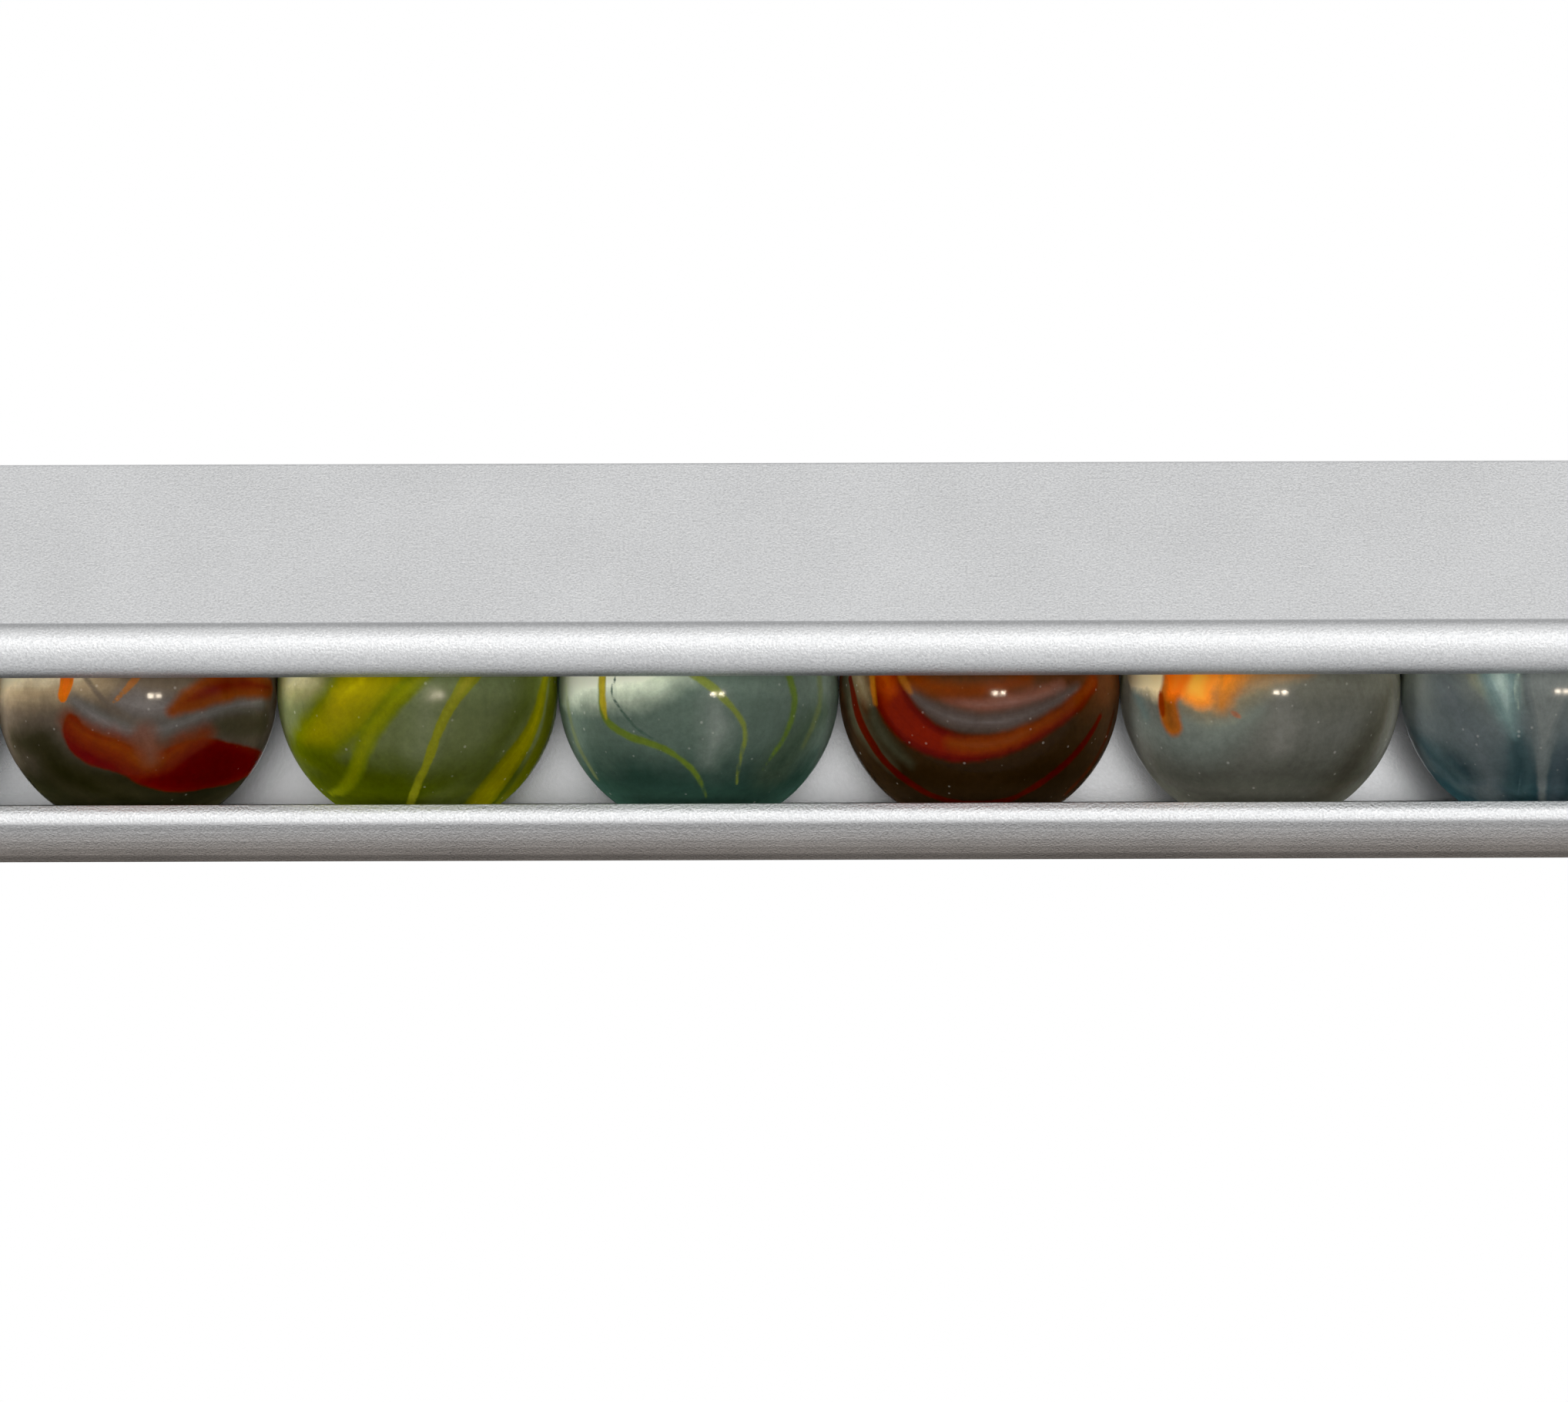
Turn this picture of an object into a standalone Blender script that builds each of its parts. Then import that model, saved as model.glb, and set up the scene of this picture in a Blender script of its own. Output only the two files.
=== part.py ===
"""Order ticket rail: an extruded aluminium channel that holds a row of glass marbles.

A paper ticket is pushed up in front of the lower lip and behind the upper bead. It
lifts a marble back up its ramp, and the marble rolls down again and clamps it.

Lengths are in metres. The rail runs along X, its back lies on the wall plane y = 0 and
its front faces -Y. The origin is the middle of the back face. The section is drawn in
two values, how far a point stands forward of the wall and how high it stands above the
rail's underside.
"""

import math

import bmesh
import bpy
from mathutils import Vector

MM = 0.001

# Marbles
MARBLE_COUNT = 18
MARBLE_RADIUS = 8.0 * MM
MARBLE_SPACING = 0.2 * MM
MARBLE_TRAVEL = 1.5 * MM
MARBLE_SIDES = 24
MARBLE_RINGS = 12

# Channel section
RAIL_HEIGHT = 22.8 * MM
BACK_WALL = 1.5 * MM
TOP_WALL = 1.25 * MM
HOOD_WALL = 1.25 * MM
HOOD_ANGLE = math.radians(45.0)
FLOOR_WALL = 1.35 * MM
RAMP_ANGLE = math.radians(8.0)
RUNNING_GAP = 0.3 * MM
HOOD_CLEARANCE = 0.25 * MM
RETREAT_CLEARANCE = 0.4 * MM
BEAD_RADIUS = 1.55 * MM
LIP_RADIUS = 1.1 * MM
LIP_HEIGHT = 3.3 * MM
LIP_TURN = math.radians(43.0)
TICKET_GAP = 0.4 * MM
EDGE_RADIUS = 0.4 * MM

# Screw ports in the two rear corners of the channel; the lip hides the lower one
PORT_BORE = 1.8 * MM
PORT_WALL = 0.45 * MM
PORT_SLIT = 0.5 * MM
PORT_INSET = 2.4 * MM
PORT_RISE = 1.75 * MM
PORT_ANGLE = math.radians(85.0)

# Countersunk holes for the wall screws
WALL_HOLE = 4.0 * MM
WALL_HEAD = 6.6 * MM
WALL_HEAD_DEPTH = 1.3 * MM
WALL_HOLE_HEIGHT = 8.2 * MM
WALL_HOLE_FROM_END = 32.0 * MM

# End caps
CAP_FLANGE = 2.0 * MM
CAP_MARGIN = 0.4 * MM
CAP_EDGE = 0.3 * MM
SEAT_GAP = 0.2 * MM
PLUG_LENGTH = 4.5 * MM
PLUG_CLEARANCE = 0.3 * MM

# Cap screws
SCREW_SHANK = 1.4 * MM
SCREW_HEAD = 2.8 * MM
SCREW_HEAD_DEPTH = 0.9 * MM
SCREW_LENGTH = 9.5 * MM
SCREW_POINT = 1.4 * MM
SCREW_SINK = 0.1 * MM
SCREW_CLEARANCE = 0.25 * MM
RECESS_SPAN = 1.7 * MM
RECESS_WIDTH = 0.4 * MM
RECESS_DEPTH = 0.55 * MM

# How finely round things are cut
ARC_STEP = math.radians(15.0)
TURN_STEPS = 24
WELD = 0.001 * MM
CUT_OVERRUN = 1.0 * MM

# Places that follow from the sizes above
PITCH = 2 * MARBLE_RADIUS + MARBLE_SPACING
RAIL_LENGTH = MARBLE_COUNT * PITCH + MARBLE_SPACING + 2 * PLUG_LENGTH
MARBLE = Vector((
    BACK_WALL + RETREAT_CLEARANCE + MARBLE_TRAVEL * math.cos(RAMP_ANGLE) + MARBLE_RADIUS,
    FLOOR_WALL + (MARBLE_RADIUS + RUNNING_GAP) / math.cos(RAMP_ANGLE),
))
HOOD_OUT = Vector((math.cos(HOOD_ANGLE), math.sin(HOOD_ANGLE)))
HOOD_UP = Vector((-math.sin(HOOD_ANGLE), math.cos(HOOD_ANGLE)))
HOOD_INNER = MARBLE_RADIUS + HOOD_CLEARANCE
HOOD_OUTER = HOOD_INNER + HOOD_WALL

# The bead is tangent to the marble's gap, and its top lies on the hood's outer face
BEAD_REACH = MARBLE_RADIUS + RUNNING_GAP + BEAD_RADIUS
BEAD_TURN = HOOD_ANGLE - math.acos((HOOD_OUTER - BEAD_RADIUS * HOOD_OUT.y) / BEAD_REACH)
BEAD = MARBLE + BEAD_REACH * Vector((math.cos(BEAD_TURN), math.sin(BEAD_TURN)))

# The lip's front stands behind the bead's back, so a ticket goes straight up
LIP = Vector((BEAD.x - BEAD_RADIUS - TICKET_GAP - LIP_RADIUS, LIP_HEIGHT - LIP_RADIUS))
UNDERSIDE_RADIUS = (LIP.y - LIP_RADIUS * math.sin(LIP_TURN)) / (1 - math.sin(LIP_TURN))
UNDERSIDE = Vector((
    LIP.x - (UNDERSIDE_RADIUS - LIP_RADIUS) * math.cos(LIP_TURN),
    UNDERSIDE_RADIUS,
))

PORT_RADIUS = PORT_BORE / 2 + PORT_WALL
PORT_LOW = Vector((PORT_INSET, PORT_RISE))
PORT_HIGH = Vector((PORT_INSET, RAIL_HEIGHT - PORT_RISE))
PORTS = {"lower": PORT_LOW, "upper": PORT_HIGH}

# Colour, roughness, metallic value and light let through
FINISHES = {
    "satin_aluminium": ((0.56, 0.57, 0.58), 0.45, 1.0, 0.0),
    "cap_plastic": ((0.045, 0.047, 0.05), 0.5, 0.0, 0.0),
    "screw_steel": ((0.55, 0.55, 0.54), 0.3, 1.0, 0.0),
    "glass_orange": ((0.62, 0.25, 0.09), 0.03, 0.0, 0.7),
    "glass_olive": ((0.36, 0.36, 0.08), 0.03, 0.0, 0.7),
    "glass_teal": ((0.16, 0.33, 0.26), 0.03, 0.0, 0.7),
    "glass_brown": ((0.25, 0.12, 0.05), 0.03, 0.0, 0.7),
    "glass_grey": ((0.32, 0.31, 0.24), 0.03, 0.0, 0.7),
    "glass_blue": ((0.19, 0.30, 0.33), 0.03, 0.0, 0.7),
}
MARBLE_GLASS = (
    "blue", "olive", "grey", "teal", "brown", "blue",
    "orange", "olive", "teal", "brown", "grey", "blue",
    "teal", "orange", "grey", "olive", "blue", "brown",
)


def arc(centre, radius, start, end):
    """Points on a circle from one angle to another, at most ARC_STEP apart."""
    steps = max(1, math.ceil(abs(end - start) / ARC_STEP - 0.001))
    angles = (start + (end - start) * i / steps for i in range(steps + 1))
    return [centre + radius * Vector((math.cos(a), math.sin(a))) for a in angles]


def rounded(corner, before, after, radius):
    """A corner between two straight runs, replaced by the arc that touches both."""
    back = (before - corner).normalized()
    ahead = (after - corner).normalized()
    half = back.angle(ahead) / 2
    centre = corner + (back + ahead).normalized() * radius / math.sin(half)
    first = corner + back * radius / math.tan(half)
    last = corner + ahead * radius / math.tan(half)
    start = math.atan2(first.y - centre.y, first.x - centre.x)
    end = math.atan2(last.y - centre.y, last.x - centre.x)
    turn = (end - start + math.pi) % math.tau - math.pi
    return arc(centre, radius, start, start + turn)


def hood_at(height, distance):
    """Forward place of a hood face at a height, given its distance from the marble."""
    return MARBLE.x + (distance - (height - MARBLE.y) * HOOD_OUT.y) / HOOD_OUT.x


def bead_meets(distance, radius):
    """Where a hood face, that far from the marble's centre, runs into the bead."""
    off = distance - (BEAD - MARBLE).dot(HOOD_OUT)
    return BEAD + off * HOOD_OUT + math.sqrt(radius ** 2 - off ** 2) * HOOD_UP


def angle_about(centre, point):
    """Direction of a point from a centre."""
    return math.atan2(point.y - centre.y, point.x - centre.x)


def ramp_at(forward):
    """Height of the floor's ramp, which rises from below the marbles to the back."""
    return FLOOR_WALL + (MARBLE.x - forward) * math.tan(RAMP_ANGLE)


def ramp_meets_port():
    """Where the ramp, going back, first touches the lower port's round wall."""
    start = Vector((MARBLE.x, FLOOR_WALL))
    along = Vector((-math.cos(RAMP_ANGLE), math.sin(RAMP_ANGLE)))
    to_port = PORT_LOW - start
    nearest = to_port.dot(along)
    off = to_port.length_squared - nearest ** 2
    return start + (nearest - math.sqrt(PORT_RADIUS ** 2 - off)) * along


def port(centre, slit, start, end):
    """A screw port's outline: round wall, slit into the bore, bore, and wall again."""
    at_wall = math.asin(PORT_SLIT / 2 / PORT_RADIUS)
    at_bore = math.asin(PORT_SLIT / PORT_BORE)
    wall_before = arc(centre, PORT_RADIUS, start, slit - at_wall)
    bore = arc(centre, PORT_BORE / 2, slit - at_bore, slit + at_bore - math.tau)
    wall_after = arc(centre, PORT_RADIUS, slit + at_wall, end)
    return wall_before + bore + wall_after


def channel_outline():
    """The extrusion's section, once round from the rear edge of its underside."""
    base = Vector((0, 0))
    top = Vector((0, RAIL_HEIGHT))
    brow = Vector((hood_at(RAIL_HEIGHT, HOOD_OUTER), RAIL_HEIGHT))
    top_inside = RAIL_HEIGHT - TOP_WALL
    brow_inside = Vector((hood_at(top_inside, HOOD_INNER), top_inside))
    lip_foot = Vector((LIP.x - LIP_RADIUS, FLOOR_WALL))
    ramp_foot = Vector((MARBLE.x, FLOOR_WALL))

    low_start = ramp_meets_port()
    wall_reach = math.sqrt(PORT_RADIUS ** 2 - (PORT_INSET - BACK_WALL) ** 2)
    low_end = PORT_LOW + Vector((BACK_WALL - PORT_INSET, wall_reach))
    high_start = PORT_HIGH + Vector((BACK_WALL - PORT_INSET, -wall_reach))
    top_reach = math.sqrt(PORT_RADIUS ** 2 - (PORT_RISE - TOP_WALL) ** 2)
    high_end = PORT_HIGH + Vector((top_reach, PORT_RISE - TOP_WALL))

    bead_back = bead_meets(HOOD_INNER, BEAD_RADIUS)
    bead_top = bead_meets(HOOD_OUTER, BEAD_RADIUS)
    bead_turn_start = angle_about(BEAD, bead_back)
    bead_turn_end = angle_about(BEAD, bead_top) + math.tau

    outline = rounded(base, top, Vector((UNDERSIDE.x, 0)), EDGE_RADIUS)
    outline += arc(UNDERSIDE, UNDERSIDE_RADIUS, -math.pi / 2, -LIP_TURN)
    outline += arc(LIP, LIP_RADIUS, -LIP_TURN, math.pi)
    outline += rounded(lip_foot, LIP + Vector((-LIP_RADIUS, 0)), ramp_foot, EDGE_RADIUS)
    outline += [ramp_foot]
    outline += port(PORT_LOW, PORT_ANGLE, angle_about(PORT_LOW, low_start),
                    angle_about(PORT_LOW, low_end))
    outline += port(PORT_HIGH, -PORT_ANGLE, angle_about(PORT_HIGH, high_start),
                    angle_about(PORT_HIGH, high_end))
    outline += rounded(brow_inside, high_end, bead_back, EDGE_RADIUS)
    outline += arc(BEAD, BEAD_RADIUS, bead_turn_start, bead_turn_end)
    outline += rounded(brow, bead_top, top, EDGE_RADIUS)
    outline += rounded(top, brow, base, EDGE_RADIUS)
    return outline


def flange_outline():
    """An end cap's flange: the channel's outer shape, a margin larger but for its back."""
    low = -CAP_MARGIN
    high = RAIL_HEIGHT + CAP_MARGIN
    hood = HOOD_OUTER + CAP_MARGIN
    bead_radius = BEAD_RADIUS + CAP_MARGIN
    lip_radius = LIP_RADIUS + CAP_MARGIN
    rise = BEAD - LIP
    tangent = math.atan2(rise.y, rise.x) - math.acos((bead_radius - lip_radius) / rise.length)
    bead_top = bead_meets(hood, bead_radius)
    brow = Vector((hood_at(high, hood), high))
    edge = EDGE_RADIUS + CAP_MARGIN
    base = Vector((0, low))
    top = Vector((0, high))

    outline = rounded(base, top, Vector((UNDERSIDE.x, low)), edge)
    outline += arc(UNDERSIDE, UNDERSIDE_RADIUS + CAP_MARGIN, -math.pi / 2, -LIP_TURN)
    outline += arc(LIP, lip_radius, -LIP_TURN, tangent)
    outline += arc(BEAD, bead_radius, tangent, angle_about(BEAD, bead_top))
    outline += rounded(brow, bead_top, top, edge)
    outline += rounded(top, brow, base, edge)
    return outline


def plug_outline():
    """The part of an end cap that enters the channel, clear of its walls and ports."""
    rear = PORT_INSET + PORT_RADIUS + PLUG_CLEARANCE
    front = LIP.x - LIP_RADIUS - PLUG_CLEARANCE
    above_ramp = PLUG_CLEARANCE / math.cos(RAMP_ANGLE)
    ceiling = RAIL_HEIGHT - TOP_WALL - PLUG_CLEARANCE
    hood = HOOD_INNER - PLUG_CLEARANCE
    under_hood = MARBLE.y + (hood - (front - MARBLE.x) * HOOD_OUT.x) / HOOD_OUT.y
    return [
        Vector((rear, ramp_at(rear) + above_ramp)),
        Vector((MARBLE.x, FLOOR_WALL + above_ramp)),
        Vector((front, FLOOR_WALL + above_ramp)),
        Vector((front, under_hood)),
        Vector((hood_at(ceiling, hood), ceiling)),
        Vector((rear, ceiling)),
    ]


def add_material(name):
    """A plain Principled material with the finish of that name."""
    colour, roughness, metallic, transmission = FINISHES[name]
    material = bpy.data.materials.new(name)
    material.use_nodes = True
    shader = material.node_tree.nodes["Principled BSDF"]
    shader.inputs["Base Color"].default_value = (*colour, 1)
    shader.inputs["Roughness"].default_value = roughness
    shader.inputs["Metallic"].default_value = metallic
    shader.inputs["Transmission Weight"].default_value = transmission
    material.diffuse_color = (*colour, 1)
    return material


def add_object(name, mesh, collection, parent):
    """Link a mesh as an object whose place is measured from its parent."""
    piece = bpy.data.objects.new(name, mesh)
    collection.objects.link(piece)
    piece.parent = parent
    return piece


def shade(piece):
    """Shade round surfaces smooth and keep real edges sharp."""
    piece.data.shade_smooth()
    piece.data.set_sharp_from_angle(angle=2 * ARC_STEP)


def extruded(name, outline, start, end, collection, parent):
    """A section outline, filled and drawn out along X between two places."""
    curve = bpy.data.curves.new(name, "CURVE")
    curve.dimensions = "2D"
    curve.fill_mode = "BOTH"
    curve.extrude = (end - start) / 2
    spline = curve.splines.new("POLY")
    spline.points.add(len(outline) - 1)
    for point, place in zip(spline.points, outline):
        point.co = (place.x, place.y, 0, 1)
    spline.use_cyclic_u = True
    drawn = add_object(name + "_outline", curve, collection, parent)
    drawn.location = ((start + end) / 2, 0, 0)
    drawn.rotation_euler = (math.pi / 2, 0, -math.pi / 2)
    bpy.context.view_layer.update()

    seen = drawn.evaluated_get(bpy.context.evaluated_depsgraph_get())
    mesh = bpy.data.meshes.new_from_object(seen)
    piece = add_object(name, mesh, collection, None)
    piece.matrix_world = drawn.matrix_world.copy()
    bpy.data.objects.remove(drawn)

    solid = bmesh.new()
    solid.from_mesh(mesh)
    bmesh.ops.remove_doubles(solid, verts=solid.verts, dist=WELD)
    bmesh.ops.recalc_face_normals(solid, faces=solid.faces)
    solid.to_mesh(mesh)
    solid.free()
    return piece


def turned(name, profile, collection):
    """A solid turned about its own Z axis from a profile that runs from top to bottom."""
    mesh = bpy.data.meshes.new(name)
    points = [(radius, 0, height) for radius, height in profile]
    edges = [(i, i + 1) for i in range(len(points) - 1)]
    mesh.from_pydata(points, edges, [])
    piece = add_object(name, mesh, collection, None)
    screw = piece.modifiers.new("Turn", "SCREW")
    screw.steps = TURN_STEPS
    screw.render_steps = TURN_STEPS
    screw.use_merge_vertices = True
    screw.merge_threshold = WELD
    screw.use_smooth_shade = True
    return piece


def as_cutter(piece):
    """Keep a cutting shape out of renders."""
    piece.hide_render = True
    piece.display_type = "WIRE"
    return piece


def combine(piece, other, operation):
    """Join another solid to a piece or cut it away."""
    boolean = piece.modifiers.new(other.name, "BOOLEAN")
    boolean.operation = operation
    boolean.solver = "EXACT"
    boolean.object = other


def countersunk_cutter(name, bore, head, head_depth, depth, collection):
    """A hole's shape, from over its wide mouth at z = 0 down past the far face."""
    profile = [
        (0, CUT_OVERRUN),
        (head / 2, CUT_OVERRUN),
        (head / 2, 0),
        (bore / 2, -head_depth),
        (bore / 2, -depth - CUT_OVERRUN),
        (0, -depth - CUT_OVERRUN),
    ]
    return as_cutter(turned(name, profile, collection))


def dressed(piece, material):
    """Give a piece its material."""
    piece.data.materials.clear()
    piece.data.materials.append(material)


def make_channel(parts, cutters, base):
    """The aluminium extrusion with its two countersunk wall holes."""
    channel = extruded("rail_channel", channel_outline(), -RAIL_LENGTH / 2,
                       RAIL_LENGTH / 2, parts, base)
    dressed(channel, add_material("satin_aluminium"))
    shade(channel)
    for side, label in ((-1, "left"), (1, "right")):
        cutter = countersunk_cutter(f"cut_wall_hole_{label}", WALL_HOLE, WALL_HEAD,
                                    WALL_HEAD_DEPTH, BACK_WALL, cutters)
        cutter.parent = base
        cutter.location = (
            side * (RAIL_LENGTH / 2 - WALL_HOLE_FROM_END), -BACK_WALL, WALL_HOLE_HEIGHT)
        cutter.rotation_euler = (math.pi / 2, 0, 0)
        combine(channel, cutter, "DIFFERENCE")


def make_marbles(parts, base):
    """The row of glass balls, each resting just behind the bead with its poles along X."""
    ball = bmesh.new()
    bmesh.ops.create_uvsphere(ball, u_segments=MARBLE_SIDES, v_segments=MARBLE_RINGS,
                              radius=MARBLE_RADIUS)
    mesh = bpy.data.meshes.new("marble")
    ball.to_mesh(mesh)
    ball.free()
    mesh.shade_smooth()
    mesh.materials.append(None)
    glass = {name: add_material("glass_" + name) for name in sorted(set(MARBLE_GLASS))}
    for i in range(MARBLE_COUNT):
        marble = add_object(f"marble_{i + 1:02d}", mesh, parts, base)
        marble.location = ((i - (MARBLE_COUNT - 1) / 2) * PITCH, -MARBLE.x, MARBLE.y)
        marble.rotation_euler = (0, math.pi / 2, 0)
        marble.material_slots[0].link = "OBJECT"
        marble.material_slots[0].material = glass[MARBLE_GLASS[i % len(MARBLE_GLASS)]]


def make_cap(side, label, parts, cutters, base, material):
    """A moulded cap: a flange over the channel's end, a plug inside and two screw holes."""
    seat = side * (RAIL_LENGTH / 2 + SEAT_GAP)
    face = seat + side * CAP_FLANGE
    tip = side * (RAIL_LENGTH / 2 - PLUG_LENGTH)
    cap = extruded(f"end_cap_{label}", flange_outline(), min(seat, face), max(seat, face),
                   parts, base)
    dressed(cap, material)
    shade(cap)
    soften = cap.modifiers.new("Edges", "BEVEL")
    soften.width = CAP_EDGE
    soften.segments = 2
    soften.limit_method = "ANGLE"
    soften.angle_limit = math.pi / 3

    middle = (seat + face) / 2
    plug = as_cutter(extruded(f"join_plug_{label}", plug_outline(), min(tip, middle),
                              max(tip, middle), cutters, base))
    combine(cap, plug, "UNION")
    for level, centre in PORTS.items():
        cutter = countersunk_cutter(
            f"cut_cap_hole_{label}_{level}", SCREW_SHANK + 2 * SCREW_CLEARANCE,
            SCREW_HEAD + 2 * SCREW_CLEARANCE, SCREW_HEAD_DEPTH, CAP_FLANGE, cutters)
        cutter.parent = base
        cutter.location = (face, -centre.x, centre.y)
        cutter.rotation_euler = (0, side * math.pi / 2, 0)
        combine(cap, cutter, "DIFFERENCE")


def make_screw(side, label, level, parts, cutters, base, material):
    """A countersunk self-tapping screw with a cross recess."""
    centre = PORTS[level]
    face = side * (RAIL_LENGTH / 2 + SEAT_GAP + CAP_FLANGE - SCREW_SINK)
    profile = [
        (0, 0),
        (SCREW_HEAD / 2, 0),
        (SCREW_SHANK / 2, -SCREW_HEAD_DEPTH),
        (SCREW_SHANK / 2, SCREW_POINT - SCREW_LENGTH),
        (0, -SCREW_LENGTH),
    ]
    screw = turned(f"cap_screw_{label}_{level}", profile, parts)
    screw.parent = base
    screw.location = (face, -centre.x, centre.y)
    screw.rotation_euler = (0, side * math.pi / 2, 0)
    dressed(screw, material)
    for turn, size in (("a", (RECESS_SPAN, RECESS_WIDTH)), ("b", (RECESS_WIDTH, RECESS_SPAN))):
        bpy.ops.mesh.primitive_cube_add(size=1)
        slot = bpy.context.object
        slot.name = f"cut_recess_{label}_{level}_{turn}"
        slot.scale = (*size, 2 * RECESS_DEPTH)
        for holder in slot.users_collection:
            holder.objects.unlink(slot)
        cutters.objects.link(slot)
        slot.parent = screw
        combine(screw, as_cutter(slot), "DIFFERENCE")


def main():
    for old in list(bpy.data.objects):
        bpy.data.objects.remove(old)
    parts = bpy.data.collections.new("order_ticket_rail")
    cutters = bpy.data.collections.new("cutting_shapes")
    bpy.context.scene.collection.children.link(parts)
    bpy.context.scene.collection.children.link(cutters)

    base = bpy.data.objects.new("underside_height", None)
    parts.objects.link(base)
    base.location = (0, 0, -RAIL_HEIGHT / 2)
    bpy.context.view_layer.update()

    make_channel(parts, cutters, base)
    make_marbles(parts, base)
    cap_material = add_material("cap_plastic")
    screw_material = add_material("screw_steel")
    for side, label in ((-1, "left"), (1, "right")):
        make_cap(side, label, parts, cutters, base, cap_material)
        for level in PORTS:
            make_screw(side, label, level, parts, cutters, base, screw_material)


main()
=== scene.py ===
# %% [markdown]
# # An order ticket rail, dressed for its picture
#
# A ticket rail is a kitchen tool with almost nothing to it: a length of extruded aluminium is
# fixed to a shelf, a row of glass marbles lies loose inside it, and a paper ticket pushed up
# behind the front bead is clamped by the marble it lifts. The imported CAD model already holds
# every piece in its true place. This lesson loads that model as a fixed frame and builds the
# finer surfaces and the finishes around it, one piece at a time.

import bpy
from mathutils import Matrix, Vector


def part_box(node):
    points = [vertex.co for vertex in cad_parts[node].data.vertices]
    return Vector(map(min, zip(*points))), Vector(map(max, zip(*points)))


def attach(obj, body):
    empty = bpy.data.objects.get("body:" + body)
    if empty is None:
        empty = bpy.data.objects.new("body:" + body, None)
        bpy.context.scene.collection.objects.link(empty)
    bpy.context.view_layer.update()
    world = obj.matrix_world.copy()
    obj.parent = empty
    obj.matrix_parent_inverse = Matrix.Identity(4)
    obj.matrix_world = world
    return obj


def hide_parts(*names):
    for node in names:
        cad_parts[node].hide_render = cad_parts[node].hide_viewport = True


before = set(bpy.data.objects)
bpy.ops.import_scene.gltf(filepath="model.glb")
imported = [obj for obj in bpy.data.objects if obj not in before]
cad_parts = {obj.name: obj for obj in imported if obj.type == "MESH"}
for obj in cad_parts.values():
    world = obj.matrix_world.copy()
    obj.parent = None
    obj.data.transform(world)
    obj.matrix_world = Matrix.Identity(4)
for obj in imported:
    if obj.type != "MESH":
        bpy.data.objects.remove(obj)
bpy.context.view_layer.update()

# %% [markdown]
# ## Sizes
#
# Everything is in metres, in the CAD model's frame: the rail runs along X, the wall is the
# plane y = 0, and the front faces -Y. What the frame can tell is measured on its nodes. The
# section's own sizes, such as the bead's radius, can't be read off a box, so they are named
# here in millimetres, each as it is in the CAD model.

# %% Measure the frame and name the section's sizes
import math

import bmesh
import bpy
import numpy as np
from mathutils import Vector

MM = 0.001
MARBLE_NAMES = sorted(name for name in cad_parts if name.startswith("marble_"))
rail_low, rail_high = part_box("rail_channel")
first_low, first_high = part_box(MARBLE_NAMES[0])
RAIL_HALF = rail_high.x
RAIL_HEIGHT = rail_high.z - rail_low.z
UNDERSIDE_Z = rail_low.z
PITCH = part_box(MARBLE_NAMES[1])[0].x - first_low.x
MARBLE_Y = (first_low.y + first_high.y) / 2
MARBLE_Z = (first_low.z + first_high.z) / 2
MARBLE_RADIUS = (first_high.z - first_low.z) / 2
MARBLE = np.array([-MARBLE_Y, MARBLE_Z - UNDERSIDE_Z])

BACK_WALL = 1.5 * MM
TOP_WALL = 1.25 * MM
FLOOR_WALL = 1.35 * MM
HOOD_ANGLE = math.radians(45.0)
RAMP_ANGLE = math.radians(8.0)
HOOD_INNER = MARBLE_RADIUS + 0.25 * MM
HOOD_OUTER = HOOD_INNER + 1.25 * MM
BEAD_RADIUS = 1.55 * MM
BEAD_REACH = MARBLE_RADIUS + 0.3 * MM + BEAD_RADIUS
LIP_RADIUS = 1.03 * MM
LIP_HEIGHT = 3.36 * MM
LIP_TURN = math.radians(38.0)
LIP_FACET = math.radians(41.0)
LIP_TOP = 0.93 * MM
LIP_EDGE = 0.12 * MM
NOSE_RADIUS = 0.3 * MM
UNDER_RADIUS = 8.2 * MM
UNDER_CORNER = 0.35 * MM
TICKET_GAP = 0.4 * MM
EDGE_RADIUS = 0.4 * MM
PORT_RADIUS = 1.35 * MM
PORT_BORE = 0.9 * MM
PORT_SLIT = 0.25 * MM
PORT_INSET = 2.4 * MM
PORT_RISE = 1.75 * MM
PORT_ANGLE = math.radians(85.0)
print(f"channel {2 * RAIL_HALF / MM:.1f} x {RAIL_HEIGHT / MM:.1f} mm, pitch {PITCH / MM:.2f} mm")

# %% [markdown]
# ## The camera
#
# The picture is taken square on from close by: about nine centimetres of a long rail fill its
# width, so the rail runs out of the frame on both sides. The camera stands level with the
# marbles' lower halves, a little left of the rail's middle, and is turned by a sixth of a
# degree, which lets the rail climb slightly to the right.

# %% Place the camera
VIEW_DISTANCE = 450 * MM
VIEW_WIDTH = 90.46 * MM
VIEW_X = -3.17 * MM
VIEW_Z = -2.33 * MM
VIEW_ROLL = math.radians(0.175)
SENSOR = 36.0


def placed(name, data):
    """A new object that holds the data, linked into the scene."""
    made = bpy.data.objects.new(name, data)
    bpy.context.scene.collection.objects.link(made)
    return made


lens = bpy.data.cameras.new("photo_camera")
lens.sensor_width = SENSOR
lens.lens = SENSOR * VIEW_DISTANCE / VIEW_WIDTH
lens.clip_start = 5 * MM
camera = placed("photo_camera", lens)
camera.location = (VIEW_X, MARBLE_Y - VIEW_DISTANCE, VIEW_Z)
camera.rotation_euler = (math.radians(90), VIEW_ROLL, 0)
bpy.context.scene.camera = camera
bpy.context.scene.view_settings.view_transform = "Standard"
print(f"lens {lens.lens:.1f} mm at {VIEW_DISTANCE / MM:.0f} mm from the marbles")

# %% [markdown]
# ## Helpers for node trees
#
# A material is a small graph. Building one by hand takes three lines for each node, so a few
# helpers keep the recipes short: one adds a node and sets or links its sockets, some wrap the
# kinds that are used most, and the last ones make a group with named inputs and outputs and
# place it in a tree.


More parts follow.
